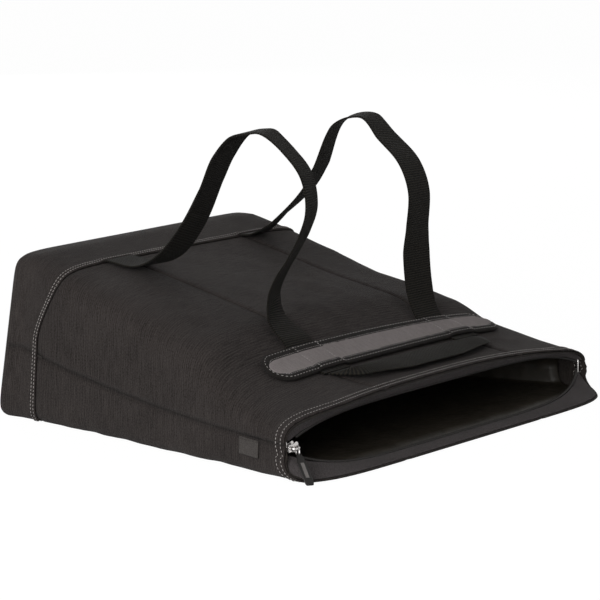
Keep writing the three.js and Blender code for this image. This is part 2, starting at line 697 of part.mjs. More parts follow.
// The coils start at the open slider's edge
const coilStartX = -(sliderStart - sliderLength / 2 - gap);
function zipperCoil(front) {
  const inside = coilStations(front).filter((x) => x > coilStartX + 2 && x < coilReach - 2);
  const rings = [coilStartX, ...inside, coilReach].map((x) => {
    const p = coilPoint(front, x);
    const along = coilAlong(front, x);
    const across = along.clone().cross(new THREE.Vector3(0, 0, 1)).normalize();
    const over = across.clone().cross(along).normalize();
    const ring = [];
    for (let k = 0; k < 6; k++) {
      const a = (k / 6) * 2 * Math.PI;
      const rim = p.clone().addScaledVector(across, coilRadius * Math.cos(a));
      ring.push(rim.addScaledVector(over, coilRadius * Math.sin(a)));
    }
    return ring;
  });
  return sweepGeometry(rings);
}
for (const [side, front] of [["front", true], ["back", false]]) {
  addPiece(side + "_zipper_tape", zipperTape(front), 0x4b4746);
  addPiece(side + "_zipper_coil", zipperCoil(front), 0x151413, 0.5);
}

// Solids for booleans, and back
function solidOf(geometry) {
  const bare = geometry.clone();
  bare.deleteAttribute("normal");
  bare.deleteAttribute("uv");
  const merged = mergeVertices(bare, 1e-3);
  const vertProperties = merged.getAttribute("position").array;
  const triVerts = new Uint32Array(merged.getIndex().array);
  return new wasm.Manifold(new wasm.Mesh({ numProp: 3, vertProperties, triVerts }));
}
function geometryOf(solid) {
  const mesh = solid.getMesh();
  const geometry = new THREE.BufferGeometry();
  geometry.setAttribute("position", new THREE.BufferAttribute(mesh.vertProperties, 3));
  geometry.setIndex(new THREE.BufferAttribute(mesh.triVerts, 1));
  return geometry;
}

// Slider: two plates joined by a wedge, with a bail over its front plate
function slider() {
  const half = sliderLength / 2;
  const outline = new THREE.Shape();
  outline.moveTo(-half, -sliderTail / 2 + 1);
  outline.quadraticCurveTo(-half, -sliderTail / 2, -half + 1, -sliderTail / 2);
  outline.lineTo(0, -sliderTail / 2);
  outline.bezierCurveTo(2, -sliderTail / 2, 3, -sliderHeight / 2, half - 2, -sliderHeight / 2);
  outline.quadraticCurveTo(half, -sliderHeight / 2, half, 0);
  outline.quadraticCurveTo(half, sliderHeight / 2, half - 2, sliderHeight / 2);
  outline.bezierCurveTo(3, sliderHeight / 2, 2, sliderTail / 2, 0, sliderTail / 2);
  outline.lineTo(-half + 1, sliderTail / 2);
  outline.quadraticCurveTo(-half, sliderTail / 2, -half, sliderTail / 2 - 1);
  const extrude = (shape, depth) =>
    new THREE.ExtrudeGeometry(shape, { depth, bevelEnabled: false, curveSegments: 5 });
  const plate = (y) => {
    const made = extrude(outline, sliderPlate);
    made.rotateX(Math.PI / 2);
    made.translate(0, y, 0);
    return solidOf(made);
  };
  const wedge = new THREE.CylinderGeometry(2, 2, sliderGap + sliderPlate, 3);
  wedge.rotateY(-Math.PI / 2);
  wedge.translate(half - 3.2, 0, 0);
  const bailPath = new THREE.Shape();
  const arch = (path, reach, height) => {
    path.moveTo(-reach, 0);
    path.lineTo(-reach, -height * 0.5);
    path.bezierCurveTo(-reach, -height, -reach * 0.7, -height, -reach * 0.4, -height);
    path.lineTo(reach * 0.4, -height);
    path.bezierCurveTo(reach * 0.7, -height, reach, -height, reach, -height * 0.5);
    path.lineTo(reach, 0);
  };
  arch(bailPath, bailLength / 2, bailHeight + bailWire);
  const hole = new THREE.Path();
  arch(hole, bailLength / 2 - bailWire, bailHeight);
  const bailFrom = (shape) => {
    const made = extrude(shape, bailWidth);
    made.translate(0, -sliderGap / 2 - sliderPlate + gap / 2, -bailWidth / 2);
    return solidOf(made);
  };
  const inside = new THREE.Shape(hole.getPoints(5));
  const front = plate(-sliderGap / 2);
  const bail = bailFrom(bailPath).subtract(bailFrom(inside).subtract(front));
  return front.add(plate(sliderGap / 2 + sliderPlate)).add(solidOf(wedge)).add(bail);
}
const sliderY = coilY - gap;
const sliderPlace = new THREE.Vector3(-sliderStart, sliderY, coilMeetHeight);
const sliderMesh = addPiece("zipper_slider", geometryOf(slider()), 0xc6c4c2, 0.25, 1);
sliderMesh.position.copy(sliderPlace);

// Wire ring through the bail and the moulded puller on it, which hang forward and down
const drop = THREE.MathUtils.degToRad(pullerDrop);
const heading = THREE.MathUtils.degToRad(pullerHeading);
const ringPlace = sliderPlace.clone().add(new THREE.Vector3(0, -sliderGap / 2 - sliderPlate - ringDepth, 0));
const pullAlong = new THREE.Vector3(
  -Math.sin(heading) * Math.cos(drop),
  -Math.cos(heading) * Math.cos(drop),
  -Math.sin(drop),
);
const pullAxis = new THREE.Vector3(0, 0, 1).addScaledVector(pullAlong, Math.sin(drop)).normalize();
const pullSide = pullAxis.clone().cross(pullAlong);
const pullFrame = new THREE.Matrix4().makeBasis(pullAlong, pullSide, pullAxis);

function pullRing() {
  const reach = ringHalfWidth;
  const corners = [[0, -reach], [0, reach], [ringLength, reach], [ringLength, -reach]];
  const path = new THREE.CurvePath();
  for (let i = 0; i < 4; i++) {
    const a = new THREE.Vector2(...corners[i]);
    const b = new THREE.Vector2(...corners[(i + 1) % 4]);
    const c = new THREE.Vector2(...corners[(i + 2) % 4]);
    const start = a.clone().add(b.clone().sub(a).setLength(ringCorner));
    const end = b.clone().sub(b.clone().sub(a).setLength(ringCorner));
    const next = b.clone().add(c.clone().sub(b).setLength(ringCorner));
    const at = (v) => new THREE.Vector3(v.x, 0, v.y);
    path.add(new THREE.LineCurve3(at(start), at(end)));
    path.add(new THREE.QuadraticBezierCurve3(at(end), at(b), at(next)));
  }
  const rings = [];
  const count = 28;
  for (let i = 0; i < count; i++) {
    const p = path.getPointAt(i / count);
    const along = path.getTangentAt(i / count);
    const side = new THREE.Vector3(0, 1, 0);
    const out = along.clone().cross(side);
    const ring = [];
    for (let k = 0; k < 6; k++) {
      const a = (k / 6) * 2 * Math.PI;
      const rim = p.clone().addScaledVector(side, ringWire * Math.cos(a));
      ring.push(rim.addScaledVector(out, ringWire * Math.sin(a)));
    }
    rings.push(ring);
  }
  return sweepGeometry(rings, true);
}
const ringMesh = addPiece("pull_ring", pullRing().applyMatrix4(pullFrame), 0xc6c4c2, 0.25, 1);
ringMesh.position.copy(ringPlace);

// Moulded puller: a flat tapered tab with an eye round the ring and a thicker end
function puller() {
  const eye = 2.6;
  const shape = new THREE.Shape();
  shape.moveTo(0, -eye);
  shape.lineTo(pullerLength * 0.3, -pullerWidth * 0.34);
  shape.lineTo(pullerLength - 1.5, -pullerWidth / 2);
  shape.quadraticCurveTo(pullerLength, -pullerWidth / 2, pullerLength, -pullerWidth / 2 + 1.5);
  shape.lineTo(pullerLength, pullerWidth / 2 - 1.5);
  shape.quadraticCurveTo(pullerLength, pullerWidth / 2, pullerLength - 1.5, pullerWidth / 2);
  shape.lineTo(pullerLength * 0.3, pullerWidth * 0.34);
  shape.lineTo(0, eye);
  shape.absarc(0, 0, eye, Math.PI / 2, Math.PI * 1.5, false);
  const hole = new THREE.Path();
  hole.absarc(0, 0, ringWire + gap, 0, Math.PI * 2, true);
  shape.holes.push(hole);
  const options = { depth: pullerThickness, bevelEnabled: false, curveSegments: 8 };
  const tab = new THREE.ExtrudeGeometry(shape, options);
  tab.translate(0, 0, -pullerThickness / 2);
  return tab;
}
const pullerPlace = ringPlace.clone().addScaledVector(pullAlong, ringLength);
const pullerMesh = addPiece("puller", geometryOf(solidOf(puller())).applyMatrix4(pullFrame), 0x1f1e1c, 0.6);
pullerMesh.position.copy(pullerPlace);

// Stops where the two coils meet, outside the slider's travel, clamped on the edges of both tapes
const stopHeight = 2 * (coilMeetGap + coilRadius + gap / 2);
for (const [name, side] of [["near_zipper_stop", -1], ["far_zipper_stop", 1]]) {
  const block = new THREE.BoxGeometry(stopLength, 2 * coilRadius, stopHeight);
  const mesh = addPiece(name, block, 0xc6c4c2, 0.25, 1);
  const x = side < 0 ? sliderStart + sliderLength / 2 : coilReach + gap;
  mesh.position.set(side * (x + gap + stopLength / 2), sliderY, coilMeetHeight);
}

// Folded tag sewn into the near side seam
function sideTag() {
  const grid = (depth) =>
    [0, 1, 2, 3].map((c) =>
      [0, 1, 2, 3].map((r) => {
        const y = tagCentreY + tagLength * (r / 3 - 0.5);
        const z = outlineAt(y).seam - 1 - (tagDrop * c) / 3;
        return skinPoint(false, shareAtHeight(false, y, z), y, depth);
      }),
    );
  return shellGeometry(grid(-gap - tagThickness), grid(-gap));
}
addPiece("side_tag", sideTag(), 0x3a3836);

export default group;
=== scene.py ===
import json
import math
from functools import lru_cache

import bmesh
import bpy
import numpy as np
from mathutils import Matrix, Vector, noise

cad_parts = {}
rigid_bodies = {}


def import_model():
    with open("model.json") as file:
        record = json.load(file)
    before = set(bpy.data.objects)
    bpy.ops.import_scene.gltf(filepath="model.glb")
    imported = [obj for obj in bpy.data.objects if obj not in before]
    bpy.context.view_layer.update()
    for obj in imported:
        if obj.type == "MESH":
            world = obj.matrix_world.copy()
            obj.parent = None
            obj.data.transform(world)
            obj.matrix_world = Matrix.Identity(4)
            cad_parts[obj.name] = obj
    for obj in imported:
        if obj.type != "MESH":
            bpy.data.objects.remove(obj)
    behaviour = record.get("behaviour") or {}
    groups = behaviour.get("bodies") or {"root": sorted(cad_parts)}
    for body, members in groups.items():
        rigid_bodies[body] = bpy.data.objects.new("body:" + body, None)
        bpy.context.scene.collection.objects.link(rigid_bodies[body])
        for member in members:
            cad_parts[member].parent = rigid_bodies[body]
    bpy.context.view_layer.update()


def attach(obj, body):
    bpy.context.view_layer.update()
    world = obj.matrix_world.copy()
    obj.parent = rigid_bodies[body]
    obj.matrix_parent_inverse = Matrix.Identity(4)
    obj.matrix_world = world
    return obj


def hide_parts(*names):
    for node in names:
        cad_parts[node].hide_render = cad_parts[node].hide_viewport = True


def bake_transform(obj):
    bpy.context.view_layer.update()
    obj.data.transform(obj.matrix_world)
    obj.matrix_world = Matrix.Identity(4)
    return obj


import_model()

# A soft insulated tote that lies on its back panel with its zipped mouth held open.
# Shapes are worked out in millimetres, and each mesh becomes metres when it is finished.
mm = 0.001

# Where the carry straps are sewn, to both sides of the middle
strapX = 102
# Columns run from 0 to 3, and this is the last place that still counts as on the third panel
lastColumn = 2.999999

# The two halves of the bag as it lies, and whether each is the upper one
halves = (("front", True), ("back", False))

# The bag's outline, from its boxed base to its flat mouth
bagShape = {
    "baseHalfWidth": 174, "mouthHalfWidth": 241, "baseHeight": 154, "mouthHeight": 62,
    "baseSeamHeight": 68, "mouthSeamHeight": 31, "baseEndY": 195, "sideLipY": -181,
    "frontLipReach": 12, "backLipReach": 35, "endRound": 9, "endLean": 25, "outlineEndY": -186,
    "topProfile": (1, 0.958, 0.898, 0.835, 0.773, 0.705, 0.636, 0.563, 0.472, 0.25, 0.097, 0.028, 0),
    "farSlump": 0.17, "slumpFrom": -0.2, "slumpStart": (0.1, 0.5), "slumpEnd": (0.72, 0.86),
    "baseCorner": 15, "mouthCorner": 2.8, "farMouthCorner": 1.9,
    "baseFloorCorner": 11, "mouthFloorCorner": 9,
    "floorPress": 3.5, "cornerPower": 0.6, "widenPower": 1.25, "seamPower": 2.1,
    "bootTopY": 106, "bootSideY": 145, "bootCurveLow": 75, "bootCurveHigh": 150,
    "baseSeamX": 86, "mouthSeamX": 108,
}
sectionSteps = 180
turnLength = 60  # millimetres that a radian of turning counts as when columns are spaced
wallEndY = bagShape["baseEndY"] - bagShape["endRound"]
sideCols, middleCols = 7, 5  # columns of the frame's own panels


def mix(a, b, t):
    return a + (b - a) * t


def ease(value, low, high):
    t = min(max((value - low) / (high - low), 0), 1)
    return t * t * (3 - 2 * t)


def bell(value, width):
    return math.exp(-((value / width) ** 2))


def topShareAt(t):
    shares = bagShape["topProfile"]
    last = len(shares) - 1
    spot = min(max(t, 0), 1) * last
    k = min(int(spot), last - 1)
    f = spot - k
    a, b, c, d = (shares[min(max(k + i, 0), last)] for i in (-1, 0, 1, 2))
    rise, fall = (c - a) / 2, (d - b) / 2
    return (2 * b - 2 * c + rise + fall) * f**3 + (3 * c - 3 * b - 2 * rise - fall) * f * f + rise * f + b


@lru_cache(maxsize=None)
def outlineAt(y):
    s = bagShape
    start = s["baseEndY"] - s["endLean"]
    t = min(max((start - y) / (start - s["outlineEndY"]), 0), 1)
    return {
        "half": mix(s["baseHalfWidth"], s["mouthHalfWidth"], t ** s["widenPower"]),
        "top": mix(s["mouthHeight"], s["baseHeight"], topShareAt(t)),
        "seam": mix(s["mouthSeamHeight"], s["baseSeamHeight"], (1 - t) ** s["seamPower"]),
        "panelSeam": mix(s["baseSeamX"], s["mouthSeamX"], t),
        "corner": mix(s["baseCorner"], s["mouthCorner"], t ** s["cornerPower"]),
        "farCorner": mix(s["baseCorner"], s["farMouthCorner"], t ** s["cornerPower"]),
        "floorCorner": mix(s["baseFloorCorner"], s["mouthFloorCorner"], t),
        "slump": s["farSlump"] * ease(t, *s["slumpStart"]) * (1 - ease(t, *s["slumpEnd"])),
    }


sectionAngles = math.pi * (1 - np.arange(sectionSteps + 1) / sectionSteps)
sectionCos, sectionSin = np.cos(sectionAngles), np.abs(np.sin(sectionAngles))


# Half of a cross-section of the bag: its points, outward normals and length, and a measure in which
# turning counts as well, so that corners get more of the columns than flats
@lru_cache(maxsize=4096)
def sectionAt(upper, y):
    o = outlineAt(y)
    c, s = sectionCos, sectionSin
    corner = np.where(c < 0, o["corner"], o["farCorner"]) if upper else o["floorCorner"]
    r = (np.abs(c) ** corner + s**corner) ** (-1 / corner)
    x = c * r * o["half"]
    side = np.clip((x / o["half"] - bagShape["slumpFrom"]) / (1 - bagShape["slumpFrom"]), 0, 1)
    rise = (o["top"] - o["seam"]) * (1 - o["slump"] * side * side * (3 - 2 * side))
    if not upper:
        rise = -o["seam"] - bagShape["floorPress"]
    z = np.maximum(o["seam"] + rise * r * s, 0)
    nx, nz = np.full(sectionSteps + 1, -1.0), np.zeros(sectionSteps + 1)
    nx[-1] = 1
    sense = 1 if upper else -1
    acrossX, acrossZ = (x[2:] - x[:-2]) * sense, (z[2:] - z[:-2]) * sense
    size = np.sqrt(acrossX**2 + acrossZ**2)
    nx[1:-1], nz[1:-1] = -acrossZ / size, acrossX / size
    steps = np.sqrt((x[1:] - x[:-1]) ** 2 + (z[1:] - z[:-1]) ** 2)
    turns = np.arccos(np.minimum(nx[1:] * nx[:-1] + nz[1:] * nz[:-1], 1))
    run, measure = np.zeros(sectionSteps + 1), np.zeros(sectionSteps + 1)
    np.cumsum(steps, out=run[1:])
    np.cumsum(steps + turnLength * turns, out=measure[1:])
    return {"measure": measure, "rows": np.stack([x, z, nx, nz, run], axis=1), "x": x}


def leanAt(y, z):
    s = bagShape
    return s["endLean"] * z * ease(y, s["bootTopY"], s["baseEndY"]) / s["baseHeight"]


# A point of the skin, its outward normal across the bag, and its length round the section
def skinAt(upper, share, y, lift=0, alongY=None):
    section = sectionAt(upper, y)
    measure, rows = section["measure"], section["rows"]
    want = min(max(share, 0), 1) * measure[-1]
    k = min(max(int(np.searchsorted(measure, want)), 1), sectionSteps)
    f = (want - measure[k - 1]) / (measure[k] - measure[k - 1])
    x, z, nx, nz, run = rows[k - 1] * (1 - f) + rows[k] * f
    place = y if alongY is None else alongY
    px, pz = x + nx * lift, z + nz * lift
    return Vector((px, place - leanAt(place, pz), pz)), Vector((nx, 0, nz)).normalized(), run


def shareAtX(upper, y, x):
    section = sectionAt(upper, y)
    return float(np.interp(x, section["x"], section["measure"]) / section["measure"][-1])


# Columns 0 to 3 round a half section: left panel, middle panel, right panel
def shareOf(upper, column, y):
    seam = outlineAt(y)["panelSeam"]
    marks = (0, shareAtX(upper, y, -seam), shareAtX(upper, y, seam), 1)
    k = min(int(column), 2)
    return mix(marks[k], marks[k + 1], column - k)


def onSkin(upper, column, y, lift=0, alongY=None):
    return skinAt(upper, shareOf(upper, column, y), y, lift, alongY)


def lipY(upper, p):
    s = bagShape
    wide = s["mouthHalfWidth"]
    if upper:
        return s["sideLipY"] - s["frontLipReach"] * ease(wide - abs(p.x), 0, wide / 3)
    inward = 1 - min(abs(p.x) / wide, 1) ** 8
    below = ease(s["mouthSeamHeight"] - p.z, 0, s["mouthSeamHeight"] / 2)
    return s["sideLipY"] - s["backLipReach"] * below * math.sqrt(inward)


def bootEdgeY(upper, p):
    s = bagShape
    return mix(s["bootSideY"], s["bootTopY"], ease(p.z, s["bootCurveLow"], s["bootCurveHigh"]))


@lru_cache(maxsize=None)
def edgeOf(limit, upper, column):
    y = bagShape["sideLipY"] if limit is lipY else bagShape["bootTopY"]
    for _ in range(6):
        y = limit(upper, onSkin(upper, column, y)[0])
    return y


# The point over the front panel at a place on the floor plan, and its normal
def topAt(x, y, above=0):
    def height(px, py):
        o = outlineAt(py)
        share = min(abs(px) / o["half"], 1)
        n = o["corner"] if px < 0 else o["farCorner"]
        rise = (o["top"] - o["seam"]) * (1 - o["slump"] * ease(px / o["half"], bagShape["slumpFrom"], 1))
        return o["seam"] + rise * (1 - share**n) ** (1 / n)

    slopeX = height(x + 0.5, y) - height(x - 0.5, y)
    slopeY = height(x, y + 0.5) - height(x, y - 0.5)
    normal = Vector((-slopeX, -slopeY, 1)).normalized()
    return Vector((x, y, height(x, y))) + normal * above, normal


# A smooth line through points, spaced as the frame's own straps are
def smoothLine(points, count):
    known = [np.array(p, float) for p in points]
    known = [2 * known[0] - known[1], *known, 2 * known[-1] - known[-2]]
    dense = []
    pieces = len(known) - 3
    for i in range(pieces * 24 + 1):
        k = min(i // 24, pieces - 1)
        w = i / 24 - k
        a, b, c, d = known[k:k + 4]
        da, db, dc = (max(np.linalg.norm(q - p), 1e-4) ** 0.5 for p, q in ((a, b), (b, c), (c, d)))
        start = ((b - a) / da - (c - a) / (da + db) + (c - b) / db) * db
        end = ((c - b) / db - (d - b) / (db + dc) + (d - c) / dc) * db
        bent = 3 * c - 3 * b - 2 * start - end
        curve = b + start * w + bent * w**2 + (2 * b - 2 * c + start + end) * w**3
        dense.append((curve, k + w))
    line = np.array([p for p, _ in dense])
    knots = np.array([t for _, t in dense])
    run = np.concatenate([[0], np.cumsum(np.linalg.norm(np.diff(line, axis=0), axis=1))])
    at = np.linspace(0, run[-1], count + 1)
    spaced = np.stack([np.interp(at, run, line[:, j]) for j in range(3)], axis=1)
    return [Vector(p) for p in spaced], np.interp(at, run, knots), run[-1]


def alongLine(points, k):
    return (points[min(k + 1, len(points) - 1)] - points[max(k - 1, 0)]).normalized()


# Colours as they are seen in daylight, from 0 to 255
def tone(r, g, b):
    return tuple(((c / 255 + 0.055) / 1.055) ** 2.4 for c in (r, g, b)) + (1,)


class Nodes:
    def __init__(self, name):
        self.material = bpy.data.materials.new(name)
        self.material.use_nodes = True
        self.tree = self.material.node_tree
        self.tree.nodes.clear()

    def add(self, kind, sockets=(), **settings):
        node = self.tree.nodes.new("ShaderNode" + kind)
        for key, value in settings.items():
            setattr(node, key, value)
        for key, value in dict(sockets).items():
            if isinstance(value, bpy.types.NodeSocket):
                self.tree.links.new(value, node.inputs[key])
            else:
                node.inputs[key].default_value = value
        return node

    def math(self, operation, a, b=0.0):
        return self.add("Math", {0: a, 1: b}, operation=operation).outputs[0]

    def place(self, kind, scale):
        source = self.add("UVMap", uv_map="weave") if kind == "UV" else self.add("TexCoord")
        found = source.outputs["UV" if kind == "UV" else "Object"]
        return self.add("Mapping", {"Vector": found, "Scale": scale}).outputs["Vector"]

    def noise(self, kind, scale, detail):
        spot = {"Vector": self.place(kind, scale), "Scale": 1.0, "Detail": detail}
        return self.add("TexNoise", spot).outputs["Fac"]

    def ripple(self, axis, pitch):
        step = 2 * math.pi / pitch
        axes = self.add("SeparateXYZ", {0: self.place("UV", (step, step, step))})
        return self.math("SINE", axes.outputs[axis])

    def ramp(self, factor, stops):
        node = self.add("ValToRGB", {"Fac": factor})
        band = node.color_ramp.elements
        while len(band) < len(stops):
            band.new(0.5)
        for element, (at, colour) in zip(band, stops):
            element.position = at
            element.color = colour
        return node.outputs["Color"]

    def finish(self, colour, height, depth, **look):
        bump = self.add("Bump", {"Height": height, "Distance": depth, "Strength": 1.0})
        sockets = {"Base Color": colour, "Normal": bump.outputs["Normal"], **look}
        shader = self.add("BsdfPrincipled", sockets)
        self.tree.links.new(shader.outputs[0], self.add("OutputMaterial").inputs["Surface"])
        return self.material


# Cloths: two shades, pitch of the weave in millimetres, width and length of its streaks, pitch
# and strength of its cross ribs, and finish
clothLooks = {
    "shellCloth": {"dark": (26, 22, 21), "light": (62, 57, 55), "pitch": 0.75, "streak": (26, 1.1)},
    "bootCloth": {"dark": (28, 24, 23), "light": (64, 59, 57), "pitch": 0.75, "streak": (26, 1.1)},
    "facingCloth": {"dark": (30, 26, 24), "light": (54, 50, 47), "pitch": 0.75, "streak": (14, 1.4)},
    "padCloth": {"dark": (127, 120, 119), "light": (143, 136, 135), "pitch": 0.6, "streak": (3.2, 12)},
    "bindingTape": {"dark": (15, 13, 12), "light": (38, 35, 33), "pitch": 0.9, "streak": (0.9, 5)},
    "zipperTapeCloth": {"dark": (62, 58, 58), "light": (92, 87, 87), "pitch": 0.55, "streak": (0.9, 6)},
    "tagCloth": {"dark": (56, 52, 50), "light": (84, 80, 77), "pitch": 0.4, "streak": (0.8, 8)},
    "webbing": {"dark": (3, 3, 2), "light": (34, 31, 26), "pitch": 2.1, "streak": (1.2, 3.5)},
    "foamSheet": {"dark": (150, 147, 140), "light": (196, 192, 184), "pitch": 2.4, "streak": (5, 5)},
}
# How much each noise counts in a cloth's shade
clothMix = {"streak": 0.5, "mottle": 0.2, "slub": 0.3, "grain": 0.7, "weave": 0.045}
clothRough = {"webbing": 0.8, "tagCloth": 0.7, "padCloth": 0.85}
clothRibs = {"shellCloth": (2.3, 0.05), "bootCloth": (2.3, 0.05), "webbing": (2.2, 0.3)}


# A woven cloth with long streaks, broad mottling, slubs and faint ribs across its length
def clothMaterial(name):
    look = clothLooks[name]
    n = Nodes(name)
    weave = n.math("MULTIPLY", n.ripple("X", look["pitch"]), n.ripple("Y", look["pitch"]))
    wide, long = look["streak"]
    streak = n.noise("UV", (1 / wide, 1 / long, 1), 3)
    slub = n.noise("UV", (1 / (wide / 2), 1 / (long / 2), 1), 2)
    grain = n.noise("UV", (1 / 1.6, 1 / 1.1, 1), 2)
    mottle = n.noise("Object", (22, 22, 22), 4)
    ribPitch, ribStrength = clothRibs.get(name, (2.3, 0.0))
    rib = n.math("MULTIPLY", n.ripple("Y", ribPitch), ribStrength)
    evenGrain = n.math("SUBTRACT", grain, 0.5)
    shade = n.math("MULTIPLY", streak, clothMix["streak"])
    for kind, value in (("mottle", mottle), ("slub", slub), ("grain", evenGrain), ("weave", weave)):
        shade = n.math("ADD", shade, n.math("MULTIPLY", value, clothMix[kind]))
    shade = n.math("ADD", shade, rib)
    colour = n.ramp(shade, ((0.3, tone(*look["dark"])), (0.7, tone(*look["light"]))))
    height = n.math("ADD", n.math("MULTIPLY", weave, 0.5), n.math("ADD", streak, slub))
    height = n.math("ADD", height, n.math("MULTIPLY", rib, 4))
    rough = clothRough.get(name, 0.9)
    finish = {"Roughness": rough, "Specular IOR Level": 0.1, "Sheen Weight": 0.025, "Sheen Roughness": 0.4}
    return n.finish(colour, height, 0.00022, **finish)


# Smooth lining film, crinkled and a little shiny
def liningMaterial():
    n = Nodes("liningFilm")
    crinkle = n.noise("Object", (60, 60, 60), 5)
    colour = n.ramp(crinkle, ((0.3, tone(30, 27, 22)), (0.7, tone(46, 42, 36))))
    rough = n.math("ADD", n.math("MULTIPLY", n.noise("Object", (140, 140, 140), 3), 0.25), 0.3)
    return n.finish(colour, crinkle, 0.0012, **{"Roughness": rough, "Specular IOR Level": 0.15})


def metalMaterial():
    n = Nodes("zipperMetal")
    brush = n.noise("Object", (900, 250, 900), 3)
    colour = n.ramp(brush, ((0.3, tone(178, 175, 173)), (0.7, tone(208, 205, 203))))
    rough = n.math("ADD", n.math("MULTIPLY", brush, 0.2), 0.16)
    return n.finish(colour, brush, 0.00004, Metallic=1.0, Roughness=rough)


# Moulded or spun plastic, with a fine grain
def plasticMaterial(name, dark, light, grain, rough):
    n = Nodes(name)
    speck = n.noise("Object", (grain, grain, grain), 4)
    wear = n.noise("Object", (90, 90, 90), 3)
    shade = n.math("ADD", n.math("MULTIPLY", speck, 0.6), n.math("MULTIPLY", wear, 0.4))
    colour = n.ramp(shade, ((0.35, tone(*dark)), (0.65, tone(*light))))
    spread = n.math("ADD", n.math("MULTIPLY", wear, 0.2), rough - 0.1)
    return n.finish(colour, speck, 0.00005, **{"Roughness": spread, "Specular IOR Level": 0.2})


cloth = {name: clothMaterial(name) for name in clothLooks}
lining = liningMaterial()
metal = metalMaterial()
thread = plasticMaterial("threadGrey", (142, 137, 135), (182, 177, 174), 1600, 0.7)
darkThread = plasticMaterial("threadDark", (30, 27, 25), (50, 46, 43), 1600, 0.7)
coilPlastic = plasticMaterial("coilNylon", (20, 18, 17), (38, 35, 33), 1500, 0.45)
pullerPlastic = plasticMaterial("pullerPlastic", (12, 11, 10), (26, 24, 22), 2200, 0.5)
stripRubber = plasticMaterial("stripRubber", (92, 89, 87), (114, 110, 108), 1800, 0.6)
boardPlastic = plasticMaterial("boardPlastic", (34, 33, 32), (50, 48, 47), 400, 0.6)
print("materials made")


# The bag lies on the floor: cloth that would sag through it is flattened at these heights
restHeight = {"shell": 0.6, "boot": 0.6, "piping": 0.3}


def meshFrom(name, bm):
    mesh = bpy.data.meshes.new(name)
    bm.to_mesh(mesh)
    bm.free()
    return mesh


def addObject(name, data):
    made = bpy.data.objects.new(name, data)
    bpy.context.collection.objects.link(made)
    return made


# Makes an object of a mesh in millimetres, flattens it at its slot's rest height, hides the CAD nodes it
# stands for, and ties it to its body
def finishPiece(name, bm, materials, slot, nodes=(), body="bag", wall=0, offset=-1):
    rest = restHeight.get(slot, 0.1)
    for vert in bm.verts:
        vert.co.z = max(vert.co.z, rest)
    mesh = meshFrom(name, bm)
    mesh.transform(Matrix.Scale(mm, 4))
    mesh.shade_smooth()
    piece = addObject(name, mesh)
    for material in materials if isinstance(materials, (list, tuple)) else [materials]:
        mesh.materials.append(material)
    if wall:
        thicken = piece.modifiers.new("wall", "SOLIDIFY")
        thicken.thickness = wall * mm
        thicken.offset = offset
    if nodes:
        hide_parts(*nodes)
    if body:
        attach(piece, body)
    return piece


# One small bead, and its copies along a row: stitches and zipper coils
def beadMesh(sides, rings):
    bm = bmesh.new()
    bmesh.ops.create_uvsphere(bm, u_segments=sides, v_segments=rings, radius=1)
    return meshFrom("bead", bm)


stitchBead, toothBead = beadMesh(6, 4), beadMesh(8, 5)


# The turn that carries the axes X, Y and Z onto three directions
def turnOnto(x, y, z):
    return Matrix((x, y, z)).transposed().to_4x4()


# Adds a bead at a place, turned along a direction, with its length, width and height
def addBead(bm, bead, centre, along, side, size):
    turn = turnOnto(along, side, along.cross(side))
    scaled = Matrix.Diagonal((size[0] / 2, size[1] / 2, size[2] / 2, 1))
    copy = bead.copy()
    copy.transform(Matrix.Translation(centre) @ turn @ scaled)
    bm.from_mesh(copy)
    bpy.data.meshes.remove(copy)


# The length from the start of a line to each of its points
def runOf(points):
    run = [0]
    for a, b in zip(points, points[1:]):
        run.append(run[-1] + (b - a).length)
    return run


# Even spots along a line: each one's place and direction, and the number of the point after it
def spotsAlong(points, pitch):
    run = runOf(points)
    count = int(run[-1] / pitch)
    for i in range(count):
        want = (i + 0.5) * run[-1] / count
        j = min(int(np.searchsorted(run, want)), len(points) - 1)
        f = (want - run[j - 1]) / (run[j] - run[j - 1])
        yield points[j - 1].lerp(points[j], f), (points[j] - points[j - 1]).normalized(), j


# A grid whose corners are carried to place(u, v), which gives a point and its spot on the cloth
def cloak(place, columns, rows, flip=False, closed=False):
    bm = bmesh.new()
    bmesh.ops.create_grid(bm, x_segments=columns, y_segments=rows, size=0.5)
    spot = {}
    for vert in bm.verts:
        point, at = place(vert.co.x + 0.5, vert.co.y + 0.5)
        vert.co = point
        spot[vert] = at
    weave = bm.loops.layers.uv.new("weave")
    for face in bm.faces:
        for loop in face.loops:
            loop[weave].uv = spot[loop.vert]
    if closed:
        bmesh.ops.remove_doubles(bm, verts=bm.verts, dist=0.01)
        bmesh.ops.holes_fill(bm, edges=bm.edges, sides=400)
        bmesh.ops.recalc_face_normals(bm, faces=bm.faces)
    elif flip:
        bmesh.ops.reverse_faces(bm, faces=bm.faces)
    return bm


# Outer panels: hem at the lip, seams drawn in between them, and soft creases between the seams
panelLook = {
    "columns": (44, 34, 44), "rows": 88, "wall": 1.2, "hem": 12, "hemRise": 0.7, "seamDepth": 1.6,
    "seamWidth": 2.4, "tuck": 8, "tuckDepth": 1.5, "crease": 1.7, "deepest": -1.3, "pucker": 0.28,
    "padFront": (-152, -140), "padBack": (-90, -66),
}


